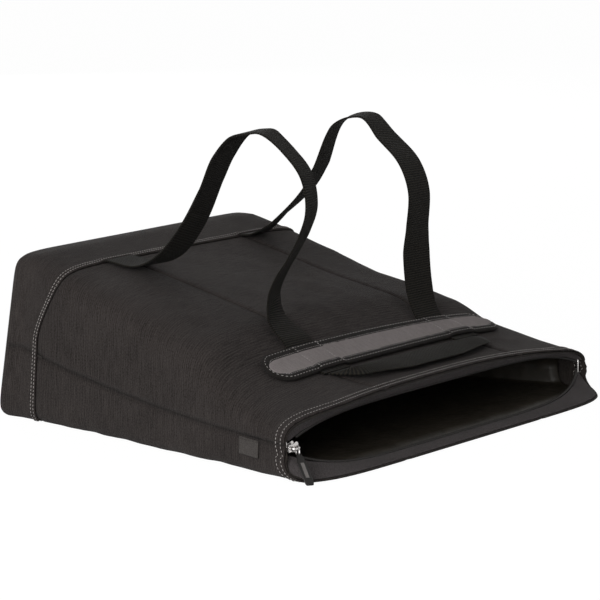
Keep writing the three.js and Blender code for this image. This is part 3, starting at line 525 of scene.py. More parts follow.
# Creases, calmer beside the seams and edges and none where the pad's webbing lies on the panel
def creaseAt(upper, p, column, fromLip, fromBoot):
    k = panelLook
    seam = min(abs(column - c) for c in range(4))
    calm = ease(seam, 0.03, 0.22) * ease(fromLip, 10, 40) * ease(fromBoot, 4, 34)
    if upper:
        calm *= 1 - ease(p.y, *k["padFront"]) * (1 - ease(p.y, *k["padBack"]))
    slant = noise.noise(Vector(((p.x + 0.8 * p.y) / 34, (p.y - 0.5 * p.x + p.z) / 95, 4.0)))
    broad = noise.noise(Vector((p.x / 80, p.y / 90, p.z / 60 + 8)))
    fine = noise.noise(Vector(((p.x - p.y) / 17, (p.x + p.y) / 44, p.z / 30 + 2)))
    return calm * max(k["crease"] * (0.75 * slant + 0.7 * broad + 0.28 * fine), k["deepest"])


def outerPanel(name, upper, number):
    k = panelLook

    def place(u, v):
        column = min(number + u, lastColumn)
        lip, boot = edgeOf(lipY, upper, column), edgeOf(bootEdgeY, upper, column)
        y = mix(lip, boot + k["tuck"], v)
        p, normal, run = onSkin(upper, column, y)
        width = sectionAt(upper, y)["rows"][-1][4]
        seam = min(abs(column - c) for c in range(4)) * width / 3
        lift = creaseAt(upper, p, column, y - lip, boot - y)
        lift -= k["seamDepth"] * (1 - ease(seam, 0, k["seamWidth"]))
        lift += k["hemRise"] * (1 - ease(y - lip, k["hem"] - 1, k["hem"] + 1))
        lift += k["pucker"] * math.sin(run / 1.7) * bell(y - lip - k["hem"], 4)
        lift += k["pucker"] * math.sin(y / 2.1) * bell(seam - 4, 3)
        lift -= k["tuckDepth"] * ease(y, boot - 2, boot + 1)
        return p + normal * lift, (run, y)

    bm = cloak(place, k["columns"][number], k["rows"], flip=not upper)
    return finishPiece(name, bm, cloth["shellCloth"], "shell", [name], wall=k["wall"])


for side, upper in halves:
    for number, part in enumerate(("left", "center", "right")):
        outerPanel(f"{side}_{part}_panel", upper, number)
print("outer panels made")

# Boot: the second cover over the base, rounded into the end, with a raised folded edge
bootLook = {
    "columns": 120, "wallRows": 26, "roundRows": 8, "wall": 1.2, "seamDepth": 1.2, "dome": 3,
    "bandWidth": 6.4, "bandWall": 1.2, "bandLift": 1.4, "strapBump": 1.5, "sideEnd": 0.52,
}


# A skin point on the way round from the walls to the base end
def roundPoint(upper, column, turn, depth):
    reach = bagShape["endRound"]
    inset = depth + (reach - depth) * (1 - math.cos(turn))
    y = wallEndY + (reach - depth) * math.sin(turn)
    return onSkin(upper, column, wallEndY, -inset, y)


def noLift(p, column, y):
    return 0


# A sheet from an edge along the walls and round to the base end; crowd draws its rows to that edge
def wrapSheet(name, upper, depth, start, material, slot, wall, columns=70, rows=40, lift=noLift, crowd=1):
    wallShare = 0.84

    def place(u, v):
        column = min(3 * u, lastColumn)
        begin = start(column)
        if v <= wallShare:
            y = mix(begin, wallEndY, (v / wallShare) ** crowd)
            p, normal, run = onSkin(upper, column, y, -depth)
            return p + normal * lift(p, column, y), (run, y)
        turn = math.pi / 2 * (v - wallShare) / (1 - wallShare)
        p, _, run = roundPoint(upper, column, turn, depth)
        return p, (run, wallEndY + turn * bagShape["endRound"])

    bm = cloak(place, columns, rows, flip=not upper)
    return finishPiece(name, bm, material, slot, [name], wall=wall)


def bootLift(p, column, y):
    k = bootLook
    fromSide = min(column, 3 - column) * 100
    crease = noise.noise(Vector((p.x / 55, p.y / 30 + p.z / 40, 15.0)))
    calm = ease(fromSide, 4, 30) * ease(wallEndY - y, 0, 14)
    return 0.5 * crease * calm - k["seamDepth"] * (1 - ease(fromSide, 0, 2.5))


for side, upper in halves:
    k = bootLook
    bootStart = lambda column, upper=upper: edgeOf(bootEdgeY, upper, column) + 0.4
    wrapSheet("boot_" + side, upper, 0, bootStart, cloth["bootCloth"], "boot", k["wall"],
              k["columns"], k["wallRows"] + k["roundRows"], bootLift)


# How far the end panels reach under the rounded edge of the walls, so that no slit shows
endOverlap = 0.6


# A panel across the base end, some depth inside its outer face, crowned a little
def endSheet(name, depth, wall, material, slot, dome=0):
    end = bagShape["baseEndY"] - depth
    inset = endOverlap - bagShape["endRound"]
    rims = []
    for upper in (False, True):
        columns = [min(i / 100, lastColumn) for i in range(301)]
        rim = [onSkin(upper, column, wallEndY, inset, end)[0] for column in columns]
        rims.append(np.array(sorted(tuple(p) for p in rim)))
    half = min(-rims[0][0, 0], rims[0][-1, 0]) - 0.2

    def place(u, v):
        x = half * math.sin(math.pi * (u - 0.5))
        low, high = (Vector((x, *(float(np.interp(x, r[:, 0], r[:, k])) for k in (1, 2)))) for r in rims)
        p = low.lerp(high, v)
        swell = dome * (1 - (2 * v - 1) ** 4) * (1 - (p.x / bagShape["baseHalfWidth"]) ** 4)
        return p + Vector((0, swell, 0)), (p.x, p.z)

    return finishPiece(name, cloak(place, 90, 36, flip=True), material, slot, [name], wall=wall)


endSheet("boot_end", 0, bootLook["wall"], cloth["bootCloth"], "boot", bootLook["dome"])


# Height of the folded edge band across its width, and where it climbs over the straps' ends
def bandLift(along, x, upper):
    k = bootLook
    across = along / k["bandWidth"]
    fold = ease(across, -0.05, 0.14) * (1 - 0.75 * ease(across, 0.9, 1))
    crown = 0.25 * math.sin(math.pi * min(max(across, 0), 1))
    over = 1 - ease(abs(abs(x) - strapX), 18, 26)
    bump = k["strapBump"] * over * (1 - ease(across, 0.5, 1)) if upper else 0
    return k["bandLift"] * fold + crown + bump


def bandPoint(upper, column, along, extra=0):
    edge = edgeOf(bootEdgeY, upper, column)
    p, normal, run = onSkin(upper, column, edge - 0.3 + along)
    return p + normal * (bandLift(along, p.x, upper) + extra), normal, run


def bandSheet(name, upper, begin, end, columns):
    k = bootLook

    def place(u, v):
        p, _, run = bandPoint(upper, min(mix(begin, end, u), lastColumn), v * k["bandWidth"])
        return p, (run, v * k["bandWidth"])

    bm = cloak(place, columns, 12, flip=not upper)
    return finishPiece(name, bm, cloth["bootCloth"], "piping", [name], wall=k["bandWall"])


# The band's three lengths: side of the bag, first and last column, and columns of its mesh
bandSpans = {
    "front": (True, 0, 3, 200),
    "left": (False, 0, bootLook["sideEnd"], 50),
    "right": (False, 3 - bootLook["sideEnd"], 3, 50),
}
for side, span in bandSpans.items():
    bandSheet("boot_piping_" + side, *span)
print("boot made")

# Rows of stitches: length, pitch, width and height of one, in millimetres
stitchLook = {"length": 2.3, "pitch": 3.3, "width": 0.62, "height": 0.5}


def stitchRow(name, path, material=thread, slot="shell", steps=160, **change):
    k = {**stitchLook, **change}
    points, normals = zip(*(path(i / steps)[:2] for i in range(steps + 1)))
    bm = bmesh.new()
    for centre, along, j in spotsAlong(points, k["pitch"]):
        side = normals[j].cross(along).normalized()
        addBead(bm, stitchBead, centre, along, side, (k["length"], k["width"], k["height"]))
    return finishPiece(name, bm, material, slot)


bandRows = {"first": 1.5, "second": 5.0}
for number, along in bandRows.items():
    for side, (upper, begin, end, _) in bandSpans.items():
        columnAt = lambda t, a=begin, b=end: min(mix(a, b, t), lastColumn)
        edgePath = lambda t, upper=upper, at=columnAt, d=along: bandPoint(upper, at(t), d, 0.12)
        stitchRow(f"boot_{side}_stitches_{number}", edgePath, slot="piping")


def hemPath(upper, along, lift, begin=0, end=3):
    def path(t):
        column = min(mix(begin, end, t), lastColumn)
        return onSkin(upper, column, edgeOf(lipY, upper, column) + along, lift)
    return path


hemRows = {"first": 3.6, "second": 9.6}
for number, along in hemRows.items():
    stitchRow(f"front_hem_stitches_{number}", hemPath(True, along, 0.78), steps=200)
    stitchRow(f"back_hem_stitches_{number}", hemPath(False, along, 0.78, 0, 0.5))
    stitchRow(f"back_facing_stitches_{number}", hemPath(False, along, -2.5), slot="facing", steps=200)
print("boot and hem stitches made")

# Insulation, lining and facings inside the shell
innerLook = {
    "foamDepth": 2.9, "foamWall": 2.4, "linerDepth": 5.8, "linerWall": 0.7, "hem": 26, "facingDepth": 1.5,
    "foamStart": 30.5, "linerStart": 24.6, "linerTurn": 4, "turnedDepth": 2.7, "linerCrowd": 1.6,
    "linerSag": 0.7, "baseFoamDepth": 1.7, "baseFoamWall": 3.6, "baseLinerDepth": 7.8,
}


def liningLift(p):
    sag = innerLook["linerSag"]
    return -sag - sag * noise.noise(Vector((p.x / 40, p.y / 32, p.z / 40 + 5)))


# The lining's mouth edge turns up over the edge of the foam to the facing
def linedSide(side, upper):
    k = innerLook
    foamEdge = lambda column: edgeOf(lipY, upper, column) + k["foamStart"]
    linerEdge = lambda column: edgeOf(lipY, upper, column) + k["linerStart"]

    def lift(p, column, y):
        turn = 1 - ease(y - linerEdge(column), 0, k["linerTurn"])
        return mix(liningLift(p), k["linerDepth"] - k["turnedDepth"], turn)

    wrapSheet(side + "_foam", upper, k["foamDepth"], foamEdge, cloth["foamSheet"], "foam", k["foamWall"])
    wrapSheet(side + "_liner", upper, k["linerDepth"], linerEdge, lining, "lining", k["linerWall"],
              lift=lift, crowd=k["linerCrowd"])


for side, upper in halves:
    linedSide(side, upper)
endSheet("base_foam", innerLook["baseFoamDepth"], innerLook["baseFoamWall"], cloth["foamSheet"], "foam")
endSheet("base_liner", innerLook["baseLinerDepth"], innerLook["linerWall"], lining, "lining")


def facingStrip(side, upper):
    k = innerLook

    def place(u, v):
        column = min(3 * u, lastColumn)
        y = edgeOf(lipY, upper, column) + mix(-1.0, k["hem"] - 1, v)
        p, normal, run = onSkin(upper, column, y, -k["facingDepth"])
        return p + normal * 0.25 * noise.noise(Vector((run / 14, y / 9, 3.0))), (run, y)

    bm = cloak(place, 150, 12, flip=not upper)
    name = "mouth_facing_" + side
    return finishPiece(name, bm, cloth["facingCloth"], "facing", [name], wall=0.8)


for side, upper in halves:
    facingStrip(side, upper)
print("inside made")

# Zipper: tapes from behind the lips to the coils, which meet at both ends
zipLook = {
    "coilRadius": 1.5, "coilY": -178, "backCoilY": -198, "frontHeight": 48, "backHeight": 4.8,
    "meetHeight": 27, "meetGap": 4.4, "coilReach": 229, "tapeReach": 233, "tapeDepth": 2.6, "tape": 0.8,
    "sliderStart": 226, "sliderLength": 14, "toothPitch": 1.5, "sag": 1.2,
}


def coilPoint(front, x):
    k = zipLook
    pull = (abs(x) / k["coilReach"]) ** (5 if front else 6)
    meet = k["meetHeight"] + (k["meetGap"] if front else -k["meetGap"])
    z = mix(k["frontHeight"] if front else k["backHeight"], meet, pull)
    y = k["coilY"] if front else mix(k["backCoilY"], k["coilY"], min(pull, 1))
    return Vector((x, y, z))


# A column of the frame's own panels as one of this script's columns
def columnOf(frameColumn):
    if frameColumn <= sideCols:
        return frameColumn / sideCols
    if frameColumn <= sideCols + middleCols:
        return 1 + (frameColumn - sideCols) / middleCols
    return min(2 + (frameColumn - sideCols - middleCols) / sideCols, lastColumn)


def zipperTape(side, front):
    k = zipLook
    count = 180
    lips = []
    for i in range(count + 1):
        column = columnOf(mix(1, 2 * sideCols + middleCols - 1, i / count))
        y = edgeOf(lipY, front, column) + 1
        lips.append(onSkin(front, column, y, -k["tapeDepth"] - k["tape"] / 2)[0])
    run = runOf(lips)
    upright = k["sliderStart"] - 2 * k["sliderLength"]

    def place(u, v):
        i = round(u * count)
        x = k["tapeReach"] * (2 * run[i] / run[-1] - 1)
        coil = coilPoint(front, min(max(x, -k["coilReach"]), k["coilReach"]))
        coil.x = x
        along = (coilPoint(front, x + 0.5) - coilPoint(front, x - 0.5)).normalized()
        towards = lips[i] - coil
        towards = (towards - along * towards.dot(along)).normalized()
        stand = ease(abs(x), upright, upright + k["sliderLength"])
        towards = towards.lerp(Vector((0, 0, 1 if front else -1)), stand).normalized()
        edge = coil + towards * (k["coilRadius"] + 0.2)
        p = lips[i].lerp(edge, v)
        sag = k["sag"] * math.sin(math.pi * v) * (1 - stand) * math.sin(x / 37 + 1)
        return p + Vector((0, 0.6, 0.8)) * sag * 0.5, (run[i], v * (edge - lips[i]).length)

    bm = cloak(place, count, 12, flip=front)
    name = side + "_zipper_tape"
    return finishPiece(name, bm, cloth["zipperTapeCloth"], "zipper_tape", [name], wall=k["tape"], offset=0)


def zipperCoil(side, front):
    k = zipLook
    start = -(k["sliderStart"] - k["sliderLength"] / 2 - 0.3)
    spots = [coilPoint(front, mix(start, k["coilReach"], i / 400)) for i in range(401)]
    wide = 2 * k["coilRadius"]
    bm = bmesh.new()
    for centre, along, _ in spotsAlong(spots, k["toothPitch"]):
        across = along.cross(Vector((0, 0, 1))).normalized()
        addBead(bm, toothBead, centre, along, across, (1.24 * k["toothPitch"], wide, wide))
    name = side + "_zipper_coil"
    return finishPiece(name, bm, coilPlastic, "zipper_coil", [name])


for side, front in halves:
    zipperTape(side, front)
    zipperCoil(side, front)
print("zipper tapes and coils made")

# Webbing: carry straps, the runs beneath the pad, and the grab handle ahead of it
webbingLook = {
    "width": 38, "thickness": 1.5, "ribs": 17, "ribSteps": 4, "ribHeight": 0.3, "step": 2.6,
}
padLook = {
    "halfWidth": 169, "backY": -101, "frontY": -130, "top": 5.0, "bedding": 0.9, "overWebbing": 2.8,
    "crown": 1.7, "bindingWidth": 3.5, "gap": 0.3, "runLead": 4, "crossStitch": 16.75,
}
bindingBackY = padLook["backY"] + padLook["gap"] + padLook["bindingWidth"]
bindingFrontY = padLook["frontY"] - padLook["gap"] - padLook["bindingWidth"]
strapAnchors = {"rear": bagShape["bootTopY"] - 1, "front": bindingBackY + 2 * padLook["gap"], "lift": 2.05}
# Share of the way from the boot to the pad, height above that line, and turn in degrees
strapRoutes = {
    "left": (
        (0, 0, 0), (0.164, 7.4, -5), (0.284, 24.7, -6), (0.416, 62.2, 0), (0.519, 105.3, 8),
        (0.589, 136.7, 5), (0.68, 161.8, 8), (0.76, 170.8, 15), (0.829, 174.4, 24), (0.94, 167, 24),
        (1.034, 151.9, 22),
        (1.061, 126.2, 21), (1.024, 101.5, 22), (0.965, 78, 23), (0.901, 55.3, 21), (0.86, 33.3, 21),
        (0.874, 16, 16), (0.925, 8.6, 8), (0.975, 4.4, 2), (1, 0, 0),
    ),
    "right": (
        (0, 0, 0), (0.036, 4.1, 8), (0.144, 25.7, 24), (0.315, 67.2, 17), (0.384, 93.2, 14),
        (0.49, 142.4, 20), (0.655, 161.4, 17), (0.76, 150.5, 8), (0.879, 136.8, 6), (0.935, 114.2, 5),
        (0.928, 79.2, 3),
        (0.924, 56.4, -4), (0.942, 23.6, -4), (0.966, 9, 0), (0.985, 3.2, 0), (1, 0, 0),
    ),
}


# A woven band along stations of centre, across, face, width, bow and run, ribbed lengthwise
def ribbon(name, stations, nodes, body):
    k = webbingLook
    last = len(stations) - 1

    def place(u, v):
        centre, across, face, width, bow, run = stations[round(v * last)]
        w = u - 0.5
        rib = k["ribHeight"] * (math.sin(math.pi * k["ribs"] * u) ** 2 - 0.5)
        return centre + across * (w * width) + face * (rib + bow * (1 - 4 * w * w)), (w * k["width"], run)

    bm = cloak(place, k["ribs"] * k["ribSteps"], last)
    return finishPiece(name, bm, cloth["webbing"], "webbing", nodes, body, wall=k["thickness"], offset=0)


def carryStrap(side, x):
    k = webbingLook
    rear, _ = topAt(x, strapAnchors["rear"], strapAnchors["lift"])
    front, _ = topAt(x, strapAnchors["front"], strapAnchors["lift"])
    route = strapRoutes[side]
    points = []
    for share, above, _ in route:
        p = rear.lerp(front, share)
        points.append((x, p.y, p.z + above))
    count = round(smoothLine(points, 8)[2] / k["step"])
    line, knots, length = smoothLine(points, count)
    stations = []
    under = [topAt(x, strapAnchors["rear"] + 3.2, 1.3)[0], topAt(x, strapAnchors["rear"] + 1.6, 1.6)[0]]
    line = under + line
    turns = [0, 0] + [float(np.interp(t, range(len(route)), [r[2] for r in route])) for t in knots]
    for i, centre in enumerate(line):
        along = alongLine(line, i)
        angle = math.radians(turns[i])
        across = Vector((math.cos(angle), math.sin(angle), 0))
        across = (across - along * across.dot(along)).normalized()
        stations.append((centre, across, across.cross(along), k["width"], 0, i * length / count))
    names = [side + "_strap", side + "_strap_rear_leg", side + "_strap_front_leg"]
    strap = ribbon(side + "_strap", stations, names, None)
    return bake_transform(strap)


def webbingRun(side, x):
    k = webbingLook
    start, end = bindingFrontY - padLook["runLead"], strapAnchors["front"] - 0.2
    stations = []
    for i in range(25):
        y = mix(end, start, i / 24)
        centre, normal = topAt(x, y, padLook["bedding"] + k["thickness"] / 2 + 0.1)
        ahead = topAt(x, y - 0.5, 1)[0] - topAt(x, y + 0.5, 1)[0]
        across = Vector((1, 0, 0))
        across = (across - normal * across.dot(normal)).normalized()
        stations.append((centre, across, across.cross(ahead.normalized()), k["width"], 0, end - y))
    return ribbon(side + "_webbing_run", stations, [side + "_webbing_run"], "bag")


for side, x in (("left", -strapX), ("right", strapX)):
    carryStrap(side, x)
    webbingRun(side, x)
print("straps made")

# Grab handle from one end to its middle: across, ahead of the pad, above the panel, width, bow
handleRoute = (
    (1, 5.8, 1.8, 32, 0), (1, 10, 2.8, 25, 1), (0.985, 16, 4.4, 20, 2), (0.94, 21, 5.4, 19, 2.6),
    (0.863, 23, 6, 19, 2.8), (0.7, 24.5, 6, 22, 2.4), (0.4, 26, 5.2, 29, 1.6),
)


def grabHandle():
    half = [(-strapX * share, *rest) for share, *rest in handleRoute]
    route = [*half, (0, *half[-1][1:]), *[(-p[0], *p[1:]) for p in reversed(half)]]
    points = [topAt(p[0], bindingFrontY - p[1], p[2])[0] for p in route]
    count = 130
    line, knots, length = smoothLine(points, count)
    stations = []
    for i, centre in enumerate(line):
        along = alongLine(line, i)
        if i in (0, count):
            along = Vector((0, 1 if i else -1, 0))
        normal = topAt(centre.x, centre.y)[1]
        across = along.cross(normal).normalized()
        width = float(np.interp(knots[i], range(len(route)), [p[3] for p in route]))
        bow = float(np.interp(knots[i], range(len(route)), [p[4] for p in route]))
        ripple = 0.5 * noise.noise(Vector((centre.x / 18, 2.0, 6.0)))
        stations.append((centre, across, across.cross(along), width, bow + ripple, i * length / count))
    return ribbon("grab_handle", stations, ["grab_handle"], "grab_handle")


grabHandle()

# Pad: a crowned cushion with round ends over the webbing
padMiddleY = (padLook["backY"] + padLook["frontY"]) / 2
padHalfDepth = (padLook["backY"] - padLook["frontY"]) / 2
padStraight = padLook["halfWidth"] - padHalfDepth


def padUnder(x):
    k = padLook
    return mix(k["overWebbing"], k["bedding"], ease(abs(abs(x) - strapX), 19.5, 23))


def padCushion():
    k = padLook

    def place(u, v):
        x = k["halfWidth"] * 0.9995 * math.sin(math.pi * (u - 0.5))
        past = max(abs(x) - padStraight, 0)
        deep = math.sqrt(max(padHalfDepth**2 - past**2, 0))
        angle = 2 * math.pi * v
        across = math.copysign(abs(math.cos(angle)) ** 0.7, math.cos(angle))
        rise = math.sin(angle)
        low, high = padUnder(x), k["top"] - 0.6
        stitched = 0.7 * (bell(abs(abs(x) - strapX) - k["crossStitch"], 1.6))
        if rise >= 0:
            swell = (k["crown"] - stitched) * max(1 - across * across, 0) ** 0.7
            h = mix(low, high, min(rise * 3, 1)) + swell * min(rise * 3, 1)
        else:
            h = low
        puff = 0.25 * noise.noise(Vector((x / 30, across, 1.0))) * max(rise, 0)
        return topAt(x, padMiddleY + deep * across, h + puff)[0], (x, deep * across)

    bm = cloak(place, 150, 36, closed=True)
    pad = finishPiece("pad", bm, cloth["padCloth"], "pad", ["pad"])
    return pad


padCushion()


# Place round the pad's edge by share of the way, from its near front corner, and the outward direction
def padEdge(t, reach):
    straight, arc = 2 * padStraight, math.pi * padHalfDepth
    d = (t % 1) * 2 * (straight + arc)
    if d < straight:
        return -padStraight + d, padMiddleY - reach
    if d < straight + arc:
        a = -math.pi / 2 + (d - straight) / padHalfDepth
        return padStraight + reach * math.cos(a), padMiddleY + reach * math.sin(a)
    if d < 2 * straight + arc:
        return padStraight - (d - straight - arc), padMiddleY + reach
    a = math.pi / 2 + (d - 2 * straight - arc) / padHalfDepth
    return -padStraight + reach * math.cos(a), padMiddleY + reach * math.sin(a)


bindingLook = {"wall": 0.9, "onTop": 4.6, "bump": 1.6}


# How far the binding's top stands over the panel, where it also climbs over the handle's ends
def bindingTop(x, y):
    over = bindingLook["bump"] * (1 - ease(abs(abs(x) - strapX), 15, 22))
    return padLook["top"] + 0.5 + (over if y < padMiddleY else 0.3 * over)


def padBinding():
    k = bindingLook
    inner, outer = padHalfDepth - k["onTop"], padHalfDepth + padLook["bindingWidth"]

    def place(u, v):
        fold = (v - 0.5) * math.pi
        across = math.cos(fold) ** 0.45 if abs(fold) < math.pi / 2 - 1e-6 else 0
        reach = mix(inner if v > 0.5 else padHalfDepth - 1, outer, across)
        x, y = padEdge(u, reach)
        top, low = bindingTop(x, y), padUnder(x) + 0.4
        h = mix(low, top, 0.5 + 0.5 * math.sin(fold))
        h += 0.2 * noise.noise(Vector((x / 7, y / 7, v * 2)))
        return topAt(x, y, h)[0], (u * 2 * (2 * padStraight + math.pi * padHalfDepth), v * 14)

    bm = cloak(place, 380, 12)
    bmesh.ops.remove_doubles(bm, verts=bm.verts, dist=0.01)
    return finishPiece("pad_binding", bm, cloth["bindingTape"], "binding", ["pad_binding"], wall=k["wall"])


padBinding()


def edgePathAt(reach, lift):
    def path(t):
        x, y = padEdge(t, reach)
        return topAt(x, y, bindingTop(x, y) + lift)
    return path


def crossPath(x):
    def path(t):
        y = mix(padLook["frontY"] - 2.6, padLook["backY"] + 2.6, t)
        across = (y - padMiddleY) / padHalfDepth
        crown = padLook["crown"] * max(1 - across * across, 0) ** 0.7
        rise = bindingTop(x, y) + 0.15 if abs(across) > 0.7 else padLook["top"] - 0.6 + crown - 0.4
        return topAt(x, y, rise)
    return path


padStitches = {"pitch": 2.7, "length": 2.2, "width": 0.55, "height": 0.45}
innerPath = edgePathAt(padHalfDepth - bindingLook["onTop"] + 1.2, -0.05)
outerPath = edgePathAt(padHalfDepth + 1.2, 0.02)
stitchRow("pad_stitches_inner", innerPath, slot="binding", steps=400, **padStitches)
stitchRow("pad_stitches_outer", outerPath, slot="binding", steps=400, pitch=4.2, length=2.4)
for side, centre in (("left", -strapX), ("right", strapX)):
    for part, sign in (("near", -1), ("far", 1)):
        name = f"{side}_cross_stitches_{part}"
        path = crossPath(centre + sign * padLook["crossStitch"])
        stitchRow(name, path, slot="pad", steps=40, **padStitches)
print("pad, binding and handle made")

# Slider, its ring and the moulded puller that hangs from it
sliderLook = {
    "length": 14, "nose": 10, "tail": 7, "plate": 1.1, "inside": 3.6, "bevel": 0.28,
    "bailLength": 10, "bailWidth": 2.6, "bailHeight": 4.8, "bailWire": 1.2,
}
sliderPlace = Vector((-zipLook["sliderStart"], zipLook["coilY"] - 0.3, zipLook["meetHeight"]))


# A flat slab from an outline of (x, z), between two depths along Y, with softened rims
def addSlab(bm, outline, y, deep, bevel):
    ring = [bm.verts.new((x, y, z)) for x, z in outline]
    face = bm.faces.new(ring)
    made = bmesh.ops.extrude_face_region(bm, geom=[face], use_keep_orig=True)["geom"]
    top = [g for g in made if isinstance(g, bmesh.types.BMVert)]
    bmesh.ops.translate(bm, verts=top, vec=(0, deep, 0))
    touched = {edge for vert in ring + top for edge in vert.link_edges}
    rims = {edge for edge in touched if abs(edge.verts[0].co.y - edge.verts[1].co.y) < 1e-6}
    bmesh.ops.bevel(bm, geom=list(rims), offset=bevel, segments=2, profile=0.5, affect="EDGES", material=-1)


def sliderOutline():
    k = sliderLook
    half = k["length"] / 2
    upper = []
    for i in range(17):
        t = i / 16
        x = -half + 2 * half * t
        z = mix(k["tail"] / 2, k["nose"] / 2, ease(t, 0.45, 0.82))
        fullness = min(t / 0.09, 1, (1 - t) / 0.2)
        upper.append((x, z * (1 - 0.42 * (1 - fullness) ** 2)))
    return upper + [(x, -z) for x, z in reversed(upper)]


def tubeAlong(bm, points, radius, sides, closed=False):
    rings = []
    count = len(points)
    for i, point in enumerate(points):
        if closed:
            along = (points[(i + 1) % count] - points[i - 1]).normalized()
        else:
            along = alongLine(points, i)
        side = Vector((0, 0, 1)).cross(along)
        side = (side if side.length > 0.3 else Vector((0, 1, 0)).cross(along)).normalized()
        place = Matrix.Translation(point) @ turnOnto(side, along.cross(side), along)
        made = bmesh.ops.create_circle(bm, segments=sides, radius=radius, matrix=place)
        rings.append({edge for vert in made["verts"] for edge in vert.link_edges})
    for a, b in zip(rings, rings[1:] + rings[:1] if closed else rings[1:]):
        bmesh.ops.bridge_loops(bm, edges=list(a | b))
    if not closed:
        bmesh.ops.holes_fill(bm, edges=list(rings[0] | rings[-1]), sides=sides)


def zipperSlider():
    k = sliderLook
    bm = bmesh.new()
    face = k["inside"] / 2
    for sign in (-1, 1):
        start = face if sign > 0 else -face - k["plate"]
        addSlab(bm, sliderOutline(), start, k["plate"], k["bevel"])
    turns = [2 * math.pi * i / 12 for i in range(12)]
    wedge = [(3.8 + 2.2 * math.cos(a), 2.0 * math.sin(a)) for a in turns]
    addSlab(bm, wedge, -face - 0.4, k["inside"] + 0.8, 0.15)
    reach, top = k["bailLength"] / 2 - k["bailWire"] / 2, -face - k["plate"] - k["bailHeight"] + 0.4
    bail = []
    for i in range(25):
        a = math.pi * i / 24
        x = -reach * math.copysign(abs(math.cos(a)) ** 0.5, math.cos(a))
        bail.append(Vector((x, mix(-face - 0.8, top, math.sin(a) ** 0.6), 0)))
    before = set(bm.verts)
    tubeAlong(bm, bail, k["bailWire"] / 2, 10)
    arch = [vert for vert in bm.verts if vert not in before]
    bmesh.ops.scale(bm, verts=arch, vec=(1, 1, k["bailWidth"] / k["bailWire"]))
    bmesh.ops.translate(bm, verts=bm.verts, vec=sliderPlace)
    bmesh.ops.recalc_face_normals(bm, faces=bm.faces)
    return finishPiece("zipper_slider", bm, metal, "zipper_metal", ["zipper_slider"], "zipper_slider")


zipperSlider()

pullLook = {
    "drop": 28, "heading": 38, "wire": 0.7, "halfWidth": 4, "ringLength": 9, "corner": 2.4,
    "length": 38, "width": 7.4, "thickness": 2, "eye": 2.6, "eyeRing": 1.55, "eyeWire": 0.95,
    "clearance": 0.35, "swell": (29, 33),
    "stripStart": 10, "stripEnd": 30, "stripMargin": 1.9, "stripDepth": 0.35,
    "ridgeStart": 31, "ridgeStep": 0.8, "ridgeHeight": 0.16,
}
drop, heading = math.radians(pullLook["drop"]), math.radians(pullLook["heading"])
ringPlace = sliderPlace + Vector((0, -1.8 - 1 - 3, 0))
level = math.cos(drop)
pullAlong = Vector((-math.sin(heading) * level, -math.cos(heading) * level, -math.sin(drop)))
pullUp = (Vector((0, 0, 1)) + pullAlong * math.sin(drop)).normalized()
pullSide = pullUp.cross(pullAlong)
pullTurn = turnOnto(pullAlong, pullSide, pullUp)


def pullRing():
    k = pullLook
    points = []
    length, reach, corner = k["ringLength"], k["halfWidth"], k["corner"]
    for cx, cz, begin in ((length - corner, reach - corner, 0), (corner, reach - corner, 90),
                          (corner, corner - reach, 180), (length - corner, corner - reach, 270)):
        for i in range(9):
            a = math.radians(begin + 90 * i / 8)
            points.append(Vector((cx + corner * math.cos(a), 0, cz + corner * math.sin(a))))
    bm = bmesh.new()
    tubeAlong(bm, points, k["wire"], 12, closed=True)
    bmesh.ops.transform(bm, verts=bm.verts, matrix=Matrix.Translation(ringPlace) @ pullTurn)
    bmesh.ops.recalc_face_normals(bm, faces=bm.faces)
    return finishPiece("pull_ring", bm, metal, "zipper_metal", ["pull_ring"], "pull_ring")


pullRing()


# Puller: a tapered tab with an eye round the ring, a sunk grey strip and a ridged end
def zipperPuller():
    k = pullLook
    half = k["width"] / 2
    hole = k["wire"] + k["clearance"]
    stripHalf = half - k["stripMargin"]

    def place(u, v):
        t = v**1.15
        x = mix(hole, k["length"], t)
        wide = mix(k["eye"], half, ease(x, 0, k["length"] * 0.3))
        wide *= 1 - 0.16 * (1 - ease(k["length"] - x, 0, 2.2))
        thick = k["thickness"] / 2 * (1 + 0.25 * ease(x, *k["swell"]))
        thick *= 1 - 0.3 * (1 - ease(k["length"] - x, 0, 1.5))
        if x > k["ridgeStart"]:
            thick += k["ridgeHeight"] * math.sin((x - k["ridgeStart"]) * math.pi / k["ridgeStep"])
        a = 2 * math.pi * u
        c, s = math.cos(a), math.sin(a)
        r = (abs(c) ** 5 + abs(s) ** 5) ** -0.2
        side, up = c * r * wide, s * r * thick
        if k["stripStart"] < x < k["stripEnd"] and abs(side) < stripHalf:
            up -= math.copysign(k["stripDepth"], up)
        return Vector((x, side, up)), (side, x)

    bm = cloak(place, 64, 90, closed=True)
    for face in bm.faces:
        middle = face.calc_center_median()
        along = k["stripStart"] + 0.2 < middle.x < k["stripEnd"] - 0.2
        if along and abs(middle.y) < stripHalf and abs(middle.z) < k["thickness"] / 2 - 0.2:
            face.material_index = 1
    turns = [2 * math.pi * i / 20 for i in range(20)]
    eye = [k["eyeRing"] * Vector((math.cos(a), math.sin(a), 0)) for a in turns]
    tubeAlong(bm, eye, k["eyeWire"], 10, closed=True)
    seat = Matrix.Translation(ringPlace + pullAlong * k["ringLength"]) @ pullTurn
    bmesh.ops.transform(bm, verts=bm.verts, matrix=seat)
    bmesh.ops.recalc_face_normals(bm, faces=bm.faces)
    return finishPiece("puller", bm, [pullerPlastic, stripRubber], "puller", ["puller"], "puller")


zipperPuller()


